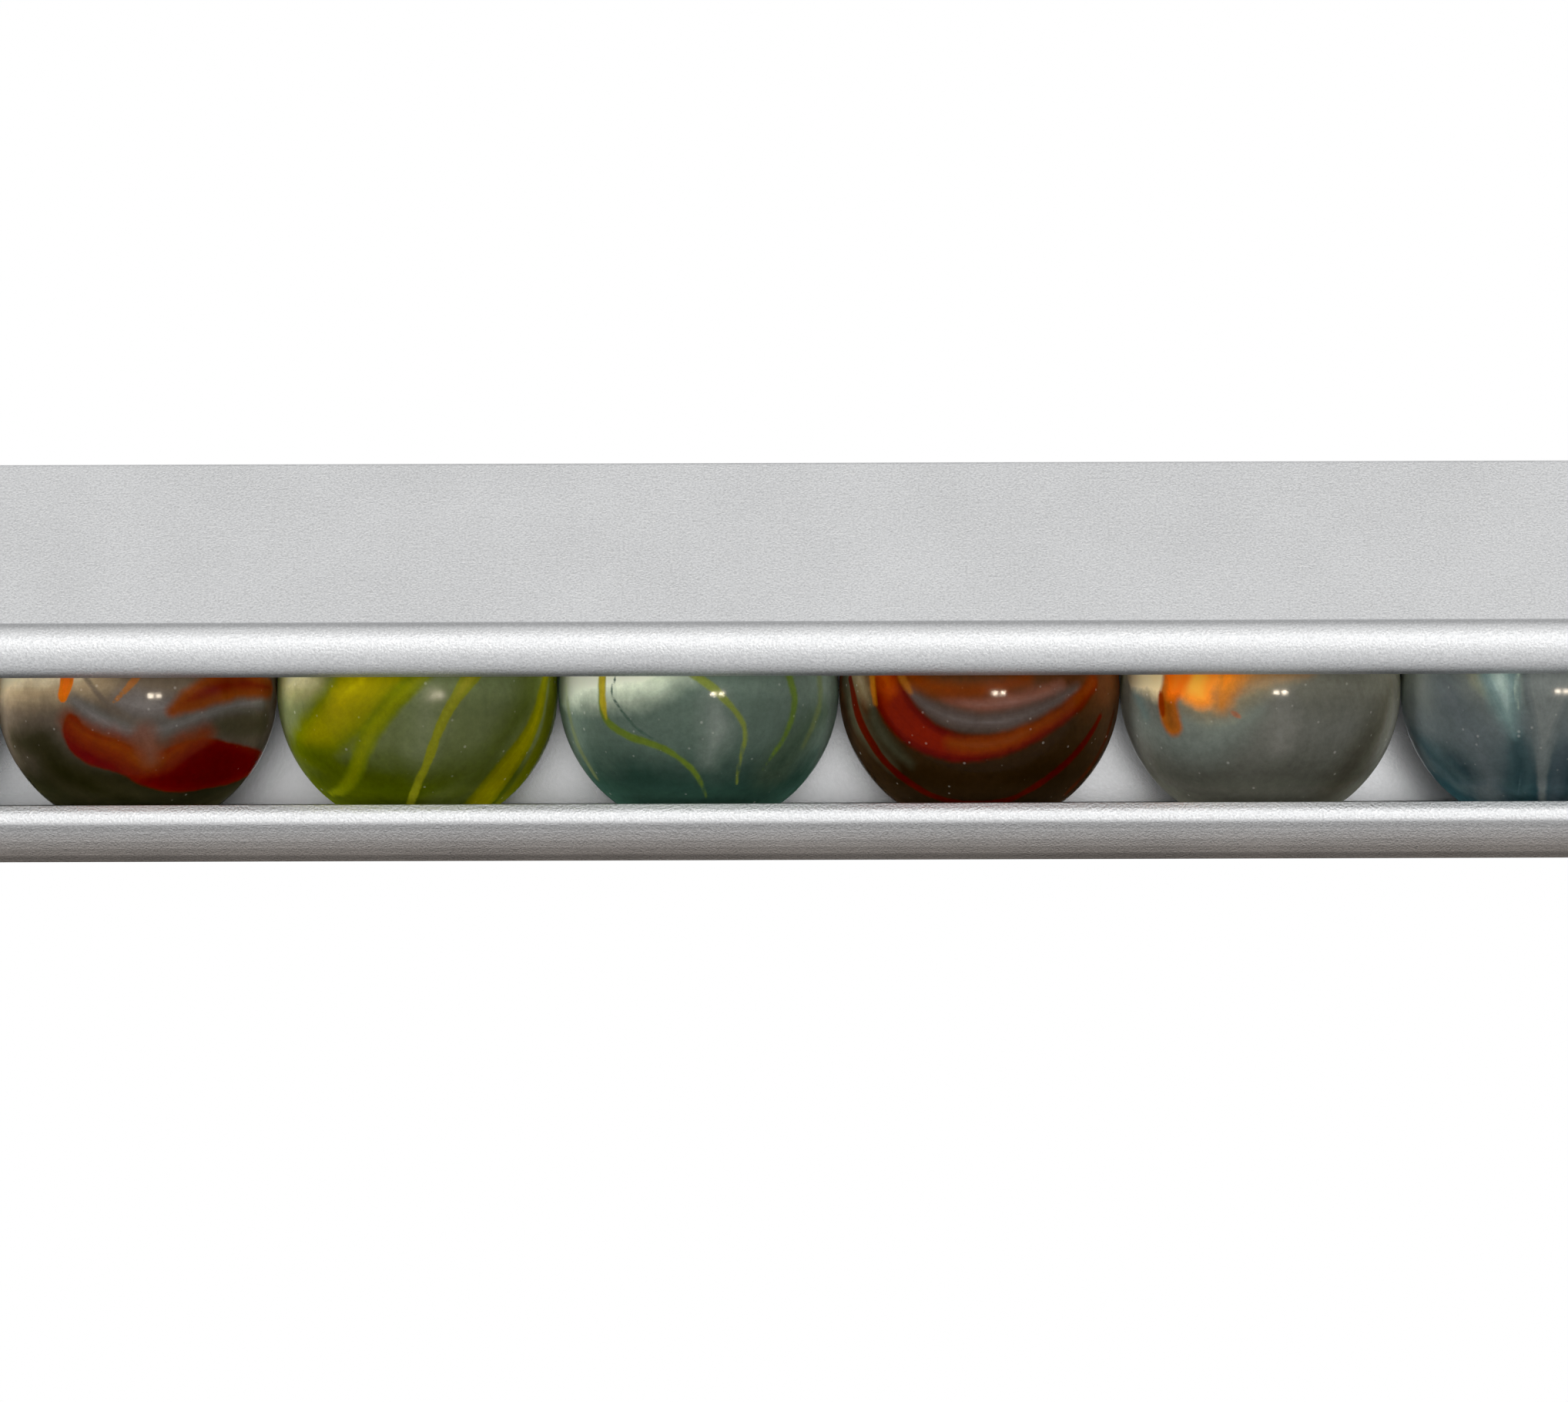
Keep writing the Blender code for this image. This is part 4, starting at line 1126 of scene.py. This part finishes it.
# %% Describe the brown glass
BROWN = {"body": ((74, 43, 21), (46, 32, 19), (32, 22, 12)), "ribbons": [
    ("sage", [(-7.5, 0.8, 1.0), (-7.2, -1.2, 0.8), (-6.4, -2.8, 0.6), (-5.1, -4.4, 0.4)],
     (54, 51, 36), (66, 66, 51), 0.6, 0.92),
    ("moss", [(-6.1, -0.8, 0.3), (-5.9, -2.0, 0.4), (-5.0, -3.3, 0.35), (-4.0, -4.2, 0.2)],
     (50, 48, 34), (62, 63, 50), 0.5, 0.9),
    # Painted light: the pale patch at the upper left.
    ("painted_cream_light", [(-7.0, 1.0, 0.5), (-6.7, 0.3, 0.45), (-6.4, -0.6, 0.2)],
     (96, 84, 60), (138, 124, 98), 0.6, 0.92),
    ("wine", [(-1.8, -0.5, 0.35), (0.0, -0.9, 0.45), (1.6, -0.8, 0.5), (3.2, -0.5, 0.4),
     (4.6, 0.0, 0.3)], (106, 66, 50), (134, 100, 92), 0.5, 0.92),
    ("outer", [(-7.4, 0.6, 0.2), (-7.0, -1.3, 0.36), (-6.4, -2.7, 0.36), (-5.4, -4.15, 0.32),
     (-4.2, -5.2, 0.28), (-2.8, -6.05, 0.24), (-1.0, -6.5, 0.2), (1.4, -6.4, 0.2),
     (2.9, -5.75, 0.22), (4.3, -4.8, 0.25), (5.5, -3.7, 0.26), (6.4, -2.5, 0.22),
     (6.9, -1.6, 0.12)], (62, 12, 3), (74, 4, 1), 0.14, 0.94),
    ("rim", [(7.7, -1.4, 0.12), (7.2, -3.0, 0.2), (6.3, -4.6, 0.22), (5.0, -6.0, 0.2)],
     (50, 20, 6), (58, 13, 2), 0.25, 0.85),
    ("grey", [(-3.9, -0.3, 0.3), (-2.8, -1.1, 0.45), (-1.4, -1.7, 0.5), (0.0, -1.9, 0.5),
     (1.6, -1.8, 0.55), (2.9, -1.4, 0.48), (4.3, -0.8, 0.4), (5.5, -0.1, 0.3)],
     (72, 61, 54), (98, 90, 88), 0.5, 0.92),
    ("main", [(-5.4, 1.2, 0.9), (-5.3, 0.5, 0.95), (-5.0, -0.7, 1.15), (-4.1, -1.9, 1.15),
     (-2.95, -2.8, 1.0), (-1.5, -3.3, 0.85), (0.0, -3.4, 0.72), (1.7, -3.1, 0.6), (3.1, -2.5, 0.5),
     (4.4, -1.7, 0.46), (5.6, -0.8, 0.42), (6.5, 0.3, 0.35)],
     (78, 13, 0), (106, 24, 0), 0.3, 0.97),
    ("belly", [(-1.6, -3.1, 0.3), (0.2, -3.2, 0.4), (1.6, -2.95, 0.4), (3.0, -2.3, 0.3),
     (4.4, -1.5, 0.25), (5.7, -0.5, 0.22), (6.5, 0.5, 0.2)],
     (104, 44, 8), (120, 66, 40), 0.5, 0.85),
    ("crest", [(-5.5, 1.3, 0.6), (-5.3, 0.6, 0.45), (-5.1, 0.0, 0.25)],
     (132, 48, 0), (166, 84, 8), 0.7, 0.92),
    ("inner", [(-4.0, 0.9, 0.5), (-3.0, 0.2, 0.42), (-1.8, -0.1, 0.42), (-0.4, -0.15, 0.35),
     (1.2, 0.1, 0.28), (2.6, 0.5, 0.3)], (94, 42, 10), (112, 40, 0), 0.5, 0.95),
    ("amber", [(-6.15, 1.2, 0.16), (-6.1, 0.3, 0.16), (-5.95, -0.8, 0.08)],
     (140, 84, 16), (176, 112, 24), 0.2, 0.9),
    ("amber_edge", [(-4.6, 1.2, 0.16), (-4.25, 0.4, 0.15), (-3.9, -0.2, 0.06)],
     (132, 78, 20), (166, 100, 24), 0.2, 0.85),
]}
print("brown", len(BROWN["ribbons"]), "ribbons")

# %% Describe the grey glass
GREY = {"body": ((94, 93, 82), (91, 91, 84), (70, 70, 62)), "ribbons": [
    ("cool", [(-7.0, -1.8, 0.5), (-5.2, -2.9, 0.9), (-3.2, -3.1, 1.0), (-1.8, -2.6, 0.6)],
     (92, 97, 90), (106, 113, 106), 1.4, 0.85),
    # Painted shade: the darker right side.
    ("painted_side_shade", [(7.5, 0.2, 0.5), (6.8, -2.0, 0.9), (5.6, -4.0, 1.0), (4.2, -5.8, 0.9)],
     (64, 62, 52), (46, 44, 34), 1.6, 0.9),
    ("mint", [(-4.6, -1.9, 0.4), (-3.0, -2.0, 0.6), (-1.4, -1.8, 0.5), (0.0, -1.2, 0.3)],
     (108, 114, 105), (124, 132, 122), 1.0, 0.85),
    # Painted reflection: the soft patch in the middle.
    ("core", [(1.1, -0.4, 0.5), (1.3, -1.8, 0.8), (1.0, -3.2, 0.5)],
     (100, 99, 92), (112, 111, 104), 0.9, 0.85),
    ("slate", [(-7.1, -0.3, 0.2), (-6.8, -1.0, 0.25), (-6.5, -1.6, 0.15)],
     (80, 94, 90), (62, 80, 80), 0.6, 0.8),
    # Painted light: the pale patch at the upper left.
    ("painted_cream_light", [(-7.0, 1.2, 0.7), (-6.2, 0.9, 0.75), (-5.9, 0.2, 0.4)],
     (232, 208, 158), (252, 222, 160), 0.9, 0.95),
    ("fan", [(-4.2, -0.8, 0.5), (-3.2, -1.1, 0.6), (-2.2, -1.1, 0.5), (-1.2, -0.7, 0.4),
     (0.0, 0.1, 0.4), (1.4, 0.6, 0.2)], (120, 112, 90), (166, 140, 102), 0.9, 0.9),
    ("streak", [(-3.0, 0.9, 1.1), (-1.6, 0.8, 0.9), (-0.2, 0.9, 0.55), (1.2, 1.0, 0.3),
     (2.6, 1.1, 0.15)], (140, 104, 62), (186, 116, 30), 0.8, 0.92),
    ("tongue", [(-1.7, 1.2, 0.7), (-1.9, 0.4, 0.65), (-2.1, -0.4, 0.45), (-2.2, -1.0, 0.2)],
     (178, 112, 40), (212, 122, 14), 0.7, 0.92),
    # Orange glass, painted brighter as light at the top.
    ("flare", [(-3.8, 1.5, 1.5), (-3.8, 0.7, 1.3), (-3.6, 0.0, 0.9), (-3.3, -0.5, 0.5)],
     (232, 138, 40), (252, 180, 66), 0.5, 0.97),
    ("drop", [(-4.9, 1.2, 0.7), (-5.0, 0.4, 0.65), (-5.25, -0.6, 0.6), (-5.2, -1.4, 0.65),
     (-5.0, -2.1, 0.6)], (150, 80, 12), (122, 66, 8), 0.3, 0.95),
    ("drop_glow", [(-4.6, 1.2, 0.8), (-4.7, 0.5, 0.65), (-5.0, -0.3, 0.3)],
     (222, 104, 14), (244, 134, 38), 0.5, 0.94),
    ("ember", [(-5.65, -0.3, 0.1), (-5.6, -1.0, 0.2), (-5.55, -1.5, 0.12)],
     (122, 38, 2), (88, 12, 1), 0.16, 0.9),
    ("tail", [(-1.65, -1.35, 0.06), (-1.4, -1.5, 0.1), (-1.15, -1.65, 0.05)],
     (150, 96, 70), (96, 52, 34), 0.1, 0.85),
]}
print("grey", len(GREY["ribbons"]), "ribbons")

# %% Describe the blue glass
BLUE = {"body": ((102, 106, 99), (86, 93, 93), (30, 51, 55)), "ribbons": [
    ("deep_left", [(-7.3, -2.6, 0.3), (-6.2, -3.9, 0.8), (-4.8, -5.3, 0.8)],
     (60, 75, 77), (42, 61, 64), 0.9, 0.9),
    ("slate", [(-5.7, 0.2, 0.8), (-4.8, -1.4, 0.9), (-3.9, -2.8, 0.8), (-3.2, -4.4, 0.6),
     (-3.0, -6.2, 0.5)], (82, 89, 90), (93, 98, 100), 1.5, 0.85),
    ("deep_middle", [(-1.4, -3.0, 0.3), (-1.2, -4.4, 0.6), (-1.3, -5.8, 0.6)],
     (48, 66, 68), (28, 48, 51), 0.6, 0.92),
    ("deep_right", [(1.8, -3.4, 0.5), (1.7, -4.8, 1.0), (1.4, -6.2, 0.9)],
     (58, 68, 72), (27, 46, 49), 0.8, 0.9),
    ("honey", [(-3.7, 1.4, 0.4), (-3.6, 0.6, 0.35), (-3.2, -0.2, 0.15)],
     (118, 118, 98), (154, 146, 110), 0.5, 0.85),
    ("mint", [(-2.5, 1.4, 1.0), (-2.3, 0.4, 0.9), (-2.0, -0.8, 0.6), (-1.8, -1.8, 0.3),
     (-1.6, -2.8, -0.2)], (96, 116, 114), (166, 180, 170), 0.8, 0.97),
    ("far_mist", [(5.6, 0.8, 0.8), (5.2, -1.4, 0.8), (4.4, -3.6, 0.5)],
     (84, 94, 96), (98, 108, 108), 1.2, 0.7),
    ("column", [(0.6, 1.4, 1.6), (0.5, 0.2, 1.5), (0.35, -1.2, 1.1), (0.2, -2.6, 0.7),
     (0.1, -4.0, 0.4), (0.05, -5.4, 0.2), (0.05, -6.6, 0.12)],
     (84, 90, 89), (103, 107, 104), 0.2, 0.9),
    ("rim_line", [(-1.2, 1.2, 0.08), (-1.35, 0.5, 0.08), (-1.4, -0.3, 0.07), (-1.3, -1.2, 0.04)],
     (140, 152, 138), (178, 184, 160), 0.1, 0.85),
    ("thread", [(-1.05, -4.6, 0.03), (-1.2, -5.6, 0.05), (-1.5, -6.4, 0.04)],
     (58, 76, 79), (78, 95, 97), 0.08, 0.8),
]}
print("blue", len(BLUE["ribbons"]), "ribbons")

# %% [markdown]
# ## Glass groups
#
# Four groups make every glass. The body blends three tones by height, which paint light at
# the top and shade at the bottom, and lets faint flow lines follow a ribbon. A ribbon is laid
# over what is below it, its edge frayed by noise and its inside streaked along its length,
# because the noise is read across the distance. Seeds are the tiny bubbles and specks that
# molten glass traps, over a faint mottle of haze. The last group is painted light: it brightens
# the rim, the top and the bottom, where a clear glass ball would gather light, and it darkens
# the paint a little to offset the thin veil that the polish lays over the darks.

# %% Make the body group
COLOUR_OUT = [("Colour", "Color")]

tree, given, feed = group(
    "Glass Body",
    [("Upper", "Color", MID_GREY), ("Middle", "Color", (0.3, 0.3, 0.3, 1)),
     ("Lower", "Color", (0.1, 0.1, 0.1, 1)), ("Flow", "Float", 1.0)], COLOUR_OUT)
cloud = noise(tree, stored(tree, "glass_place", "Vector"), 0.35, 3.0, 0.55)
lifted = maths(tree, "MULTIPLY_ADD", swing(tree, cloud), 2.4, stored(tree, "glass_height"))
# Painted light and shade: the tones by height are lighter at the top and darker at the bottom.
colour = mixed(tree, ramp(tree, lifted, -5.6, -2.2), given["Lower"], given["Middle"])
colour = mixed(tree, ramp(tree, lifted, -2.6, 0.9), colour, given["Upper"])
across = together(tree, maths(tree, "MULTIPLY", given["Flow"], 1.6), cloud)
lines = swing(tree, noise(tree, across, 1.8, 3.0, 0.6))
shade = maths(tree, "MULTIPLY_ADD", lines, 0.25, 1.0)
feed("Colour", vector_maths(tree, "SCALE", colour, shade))
print("body group", len(tree.nodes), "nodes")

# %% [markdown]
# The mask of a ribbon follows its distance, softer or crisper at the edge. Inside it, the paint
# goes from the edge's tone to the core's.

# %% Make the ribbon group
tree, given, feed = group(
    "Glass Ribbon",
    [("Below", "Color", MID_GREY), ("Distance", "Float", 1.0),
     ("Edge", "Color", (0.5, 0.2, 0.1, 1)), ("Core", "Color", (0.5, 0.2, 0.1, 1)),
     ("Softness", "Float", 0.1), ("Hiding", "Float", 0.9)], COLOUR_OUT)
wave = swing(tree, noise(tree, stored(tree, "glass_place", "Vector"), 0.9, 3.0, 0.6))
fray = maths(tree, "MULTIPLY_ADD", given["Softness"], 0.6, 0.16)
distance = maths(tree, "MULTIPLY_ADD", wave, fray, given["Distance"])
mask = ramp(tree, distance, given["Softness"], maths(tree, "MULTIPLY", given["Softness"], -0.5))
inside = ramp(tree, maths(tree, "MULTIPLY", distance, -1.0), 0.0,
              maths(tree, "ADD", given["Softness"], 0.45))
across = together(tree, maths(tree, "MULTIPLY", given["Distance"], 3.0), wave)
streak = maths(tree, "DIVIDE", swing(tree, noise(tree, across, 1.6, 3.0, 0.6)),
               maths(tree, "MULTIPLY_ADD", given["Softness"], 1.5, 0.8))
core = maths(tree, "MULTIPLY_ADD", streak, 0.6, inside)
core = maths(tree, "MINIMUM", maths(tree, "MAXIMUM", core, 0.0), 1.0)
paint = vector_maths(tree, "SCALE", mixed(tree, core, given["Edge"], given["Core"]),
                     maths(tree, "MULTIPLY_ADD", streak, 0.35, 1.0))
over = maths(tree, "MULTIPLY", mask, given["Hiding"])
feed("Colour", mixed(tree, over, given["Below"], paint))
print("ribbon group", len(tree.nodes), "nodes")

# %% [markdown]
# Seeds sit one to a cell of a Voronoi pattern, each with its own chance of being there and its
# own size.

# %% Make the seeds group
tree, given, feed = group(
    "Glass Seeds",
    [("Below", "Color", MID_GREY), ("Seed", "Color", (0.10, 0.095, 0.085, 1)),
     ("Spacing", "Float", 0.75), ("Size", "Float", 0.10), ("Mottle", "Float", 0.7)], COLOUR_OUT)
place = stored(tree, "glass_place", "Vector")
haze = swing(tree, noise(tree, place, 2.0, 4.0, 0.8))
haze = maths(tree, "MULTIPLY_ADD", haze, given["Mottle"], 1.0)
mottled = vector_maths(tree, "SCALE", given["Below"], haze)
per_mm = maths(tree, "DIVIDE", 1.0, given["Spacing"])
cells = node(tree, "TexVoronoi", {"Vector": place, "Scale": per_mm}).outputs
away = maths(tree, "MULTIPLY", cells["Distance"], given["Spacing"])
chance = node(tree, "SeparateColor", {0: cells["Color"]}).outputs[0]
size = maths(tree, "MULTIPLY", given["Size"], maths(tree, "ADD", chance, 0.3))
dot = ramp(tree, away, size, maths(tree, "MULTIPLY", size, 0.3))
strength = maths(tree, "MULTIPLY", dot, ramp(tree, chance, 0.2, 0.9))
feed("Colour", mixed(tree, strength, mottled, given["Seed"], "ADD"))
print("seeds group", len(tree.nodes), "nodes")

# %% [markdown]
# Painted light multiplies the paint, by the view's slant at the rim and by the height at
# the top and the bottom, and a cap keeps the brightest paint from turning into light.

# %% Make the painted light group
PAINT_LIMIT = 0.95

tree, given, feed = group(
    "Glass Painted Light",
    [("Colour", "Color", MID_GREY), ("Facing", "Float", 0.0), ("Rim", "Float", 12.0),
     ("Top", "Float", 1.6), ("Bottom", "Float", 2.0), ("Veil", "Float", 0.0035)], COLOUR_OUT)
height = stored(tree, "glass_height")
# Painted light: the rim, the top and the bottom are brightened in the paint itself.
rim = maths(tree, "MULTIPLY", maths(tree, "POWER", given["Facing"], 4.0),
            ramp(tree, height, -4.5, -0.5, 0.4, 1.0))
lift = maths(tree, "MULTIPLY_ADD", rim, given["Rim"], 1.0)
lift = maths(tree, "MULTIPLY", lift, ramp(tree, height, -1.2, 0.9, 1.0, given["Top"]))
lift = maths(tree, "MULTIPLY", lift, ramp(tree, height, -4.8, -6.6, 1.0, given["Bottom"]))
bright = vector_maths(tree, "SCALE", given["Colour"], lift)
parts = node(tree, "SeparateColor", {0: bright}).outputs
peak = maths(tree, "MAXIMUM", maths(tree, "MAXIMUM", parts[0], parts[1]), parts[2])
down = maths(tree, "DIVIDE", PAINT_LIMIT, maths(tree, "MAXIMUM", peak, PAINT_LIMIT))
capped = vector_maths(tree, "SCALE", bright, down)
# The paint is darkened a little to offset the polish's reflection.
deep = vector_maths(tree, "SUBTRACT", capped, together(tree, *[given["Veil"]] * 3))
feed("Colour", vector_maths(tree, "MAXIMUM", deep))
print("gather group", len(tree.nodes), "nodes")

# %% [markdown]
# The glass itself is a Principled shader that lets part of the light through and paints the
# rest, which is what milky, ribboned glass does. Its polish is not quite perfect: marbles roll
# against each other and metal for years, so a faint bump and slightly uneven roughness keep
# the reflections from looking like a mirror's.

# %% Build the glass materials
WEAR = 0.09
WEAR_SPREAD = 1.6
CLEAR_GLASS = {"IOR": 1.5, "Specular IOR Level": 0.02, "Transmission Weight": 0.05,
               "Subsurface Weight": 0.8, "Subsurface Radius": (1.0, 1.0, 1.0),
               "Subsurface Scale": 3.0 * MM}


def glass_material(name, recipe):
    """One glass: body, ribbons in their order, seeds and painted light, on one shader."""
    material, tree, shader = new_material(name)
    wear = recipe.get("wear", WEAR)
    rows = [(stored(tree, "ribbon_" + label), tone(*edge), tone(*core), softness, hiding)
            for label, _, edge, core, softness, hiding in recipe["ribbons"]]
    body = dict(zip(("Upper", "Middle", "Lower"), (tone(*row) for row in recipe["body"])))
    colour = use(tree, "Glass Body", {**body, "Flow": rows[0][0]})["Colour"]
    for row in rows:
        named = dict(zip(("Distance", "Edge", "Core", "Softness", "Hiding"), row))
        colour = use(tree, "Glass Ribbon", {"Below": colour, **named})["Colour"]
    seeds = use(tree, "Glass Seeds", {"Below": colour})["Colour"]
    facing = node(tree, "LayerWeight", {"Blend": 0.5}).outputs["Facing"]
    # Painted light on the rim, the top and the bottom.
    paint = use(tree, "Glass Painted Light", {"Colour": seeds, "Facing": facing})["Colour"]
    place = stored(tree, "glass_place", "Vector")
    smear = noise(tree, place, 0.7, 4.0, 0.6)
    waves = maths(tree, "MULTIPLY_ADD", noise(tree, place, 0.5, 2.0), 0.3,
                  maths(tree, "MULTIPLY", noise(tree, place, 14.0, 2.0), 0.02))
    bump = node(tree, "Bump", {"Height": waves, "Strength": 0.3, "Distance": 0.1 * MM})
    tree.links.new(paint, shader.inputs["Base Color"])
    tree.links.new(ramp(tree, smear, 0.35, 0.7, wear, WEAR_SPREAD * wear),
                   shader.inputs["Roughness"])
    tree.links.new(bump.outputs[0], shader.inputs["Normal"])
    for key, value in CLEAR_GLASS.items():
        shader.inputs[key].default_value = value
    return material


RECIPES = {"orange": ORANGE, "olive": OLIVE, "teal": TEAL, "brown": BROWN, "grey": GREY,
           "blue": BLUE}
glasses = {name: glass_material("glass_" + name, recipe) for name, recipe in RECIPES.items()}
print("glasses", {name: len(glass.node_tree.nodes) for name, glass in glasses.items()})

# %% [markdown]
# The six marbles in the middle lie as they do in the photograph, and their ribbons were drawn as
# the camera sees them, so each drawing is turned about Z to face the camera. The others are
# cousins: the same six glasses, mirrored or turned about the line of sight, with their noise
# moved along, so that no two balls look alike.

# %% Make the marbles
MARBLE_GLASS = ("blue", "olive", "grey", "teal", "brown", "blue",
                "orange", "olive", "teal", "brown", "grey", "blue",
                "teal", "orange", "grey", "olive", "blue", "brown")
PHOTOGRAPHED = range(6, 12)
NOISE_STRIDE = 37.0
COUSIN_STEP = 47
COUSIN_SPAN = 50
NEVER_SHARP = 180


def set_attribute(mesh, name, values, kind="FLOAT"):
    """Stores one value or vector for each point of a mesh."""
    data = mesh.attributes.new(name, kind, "POINT").data
    data.foreach_set("vector" if kind == "FLOAT_VECTOR" else "value",
                     values.astype(np.float32).ravel())


def turned(places, first, second, angle):
    """Places read in axes turned by an angle: a' = a cos t + b sin t, b' = b cos t - a sin t."""
    result = places.copy()
    result[:, first] = places[:, first] * math.cos(angle) + places[:, second] * math.sin(angle)
    result[:, second] = places[:, second] * math.cos(angle) - places[:, first] * math.sin(angle)
    return result


marbles = []
for number, (node_name, glass) in enumerate(zip(MARBLE_NAMES, MARBLE_GLASS)):
    low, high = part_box(node_name)
    centre = np.array((low + high) / 2)
    marble = skinned(node_name.replace("marble", "glass"), ball_rings(centre), NEVER_SHARP)
    mesh = marble.data
    flat = np.empty(len(mesh.vertices) * 3, np.float32)
    mesh.vertices.foreach_get("co", flat)
    places = (flat.reshape(-1, 3) - centre) / MM
    if number in PHOTOGRAPHED:
        drawn = turned(places, 0, 1, math.atan2(VIEW_X - centre[0], VIEW_DISTANCE))
    else:
        tilt = (number * COUSIN_STEP) % COUSIN_SPAN - COUSIN_SPAN / 2
        drawn = turned(places, 0, 2, math.radians(tilt))
        drawn[:, 0] *= 1 - 2 * (number % 2)
    set_attribute(mesh, "glass_height", places[:, 2])
    set_attribute(mesh, "glass_place", drawn + NOISE_STRIDE * number, "FLOAT_VECTOR")
    for label, curve, *_ in RECIPES[glass]["ribbons"]:
        set_attribute(mesh, "ribbon_" + label, distance_to_ribbon(drawn, curve))
    mesh.materials.append(glasses[glass])
    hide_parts(node_name)
    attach(marble, node_name)
    glass_pieces.objects.link(marble)
    marbles.append(marble)
print("marble", len(marbles[0].data.polygons), "faces, a ball of", 2 * BALL_RADIUS, "mm")
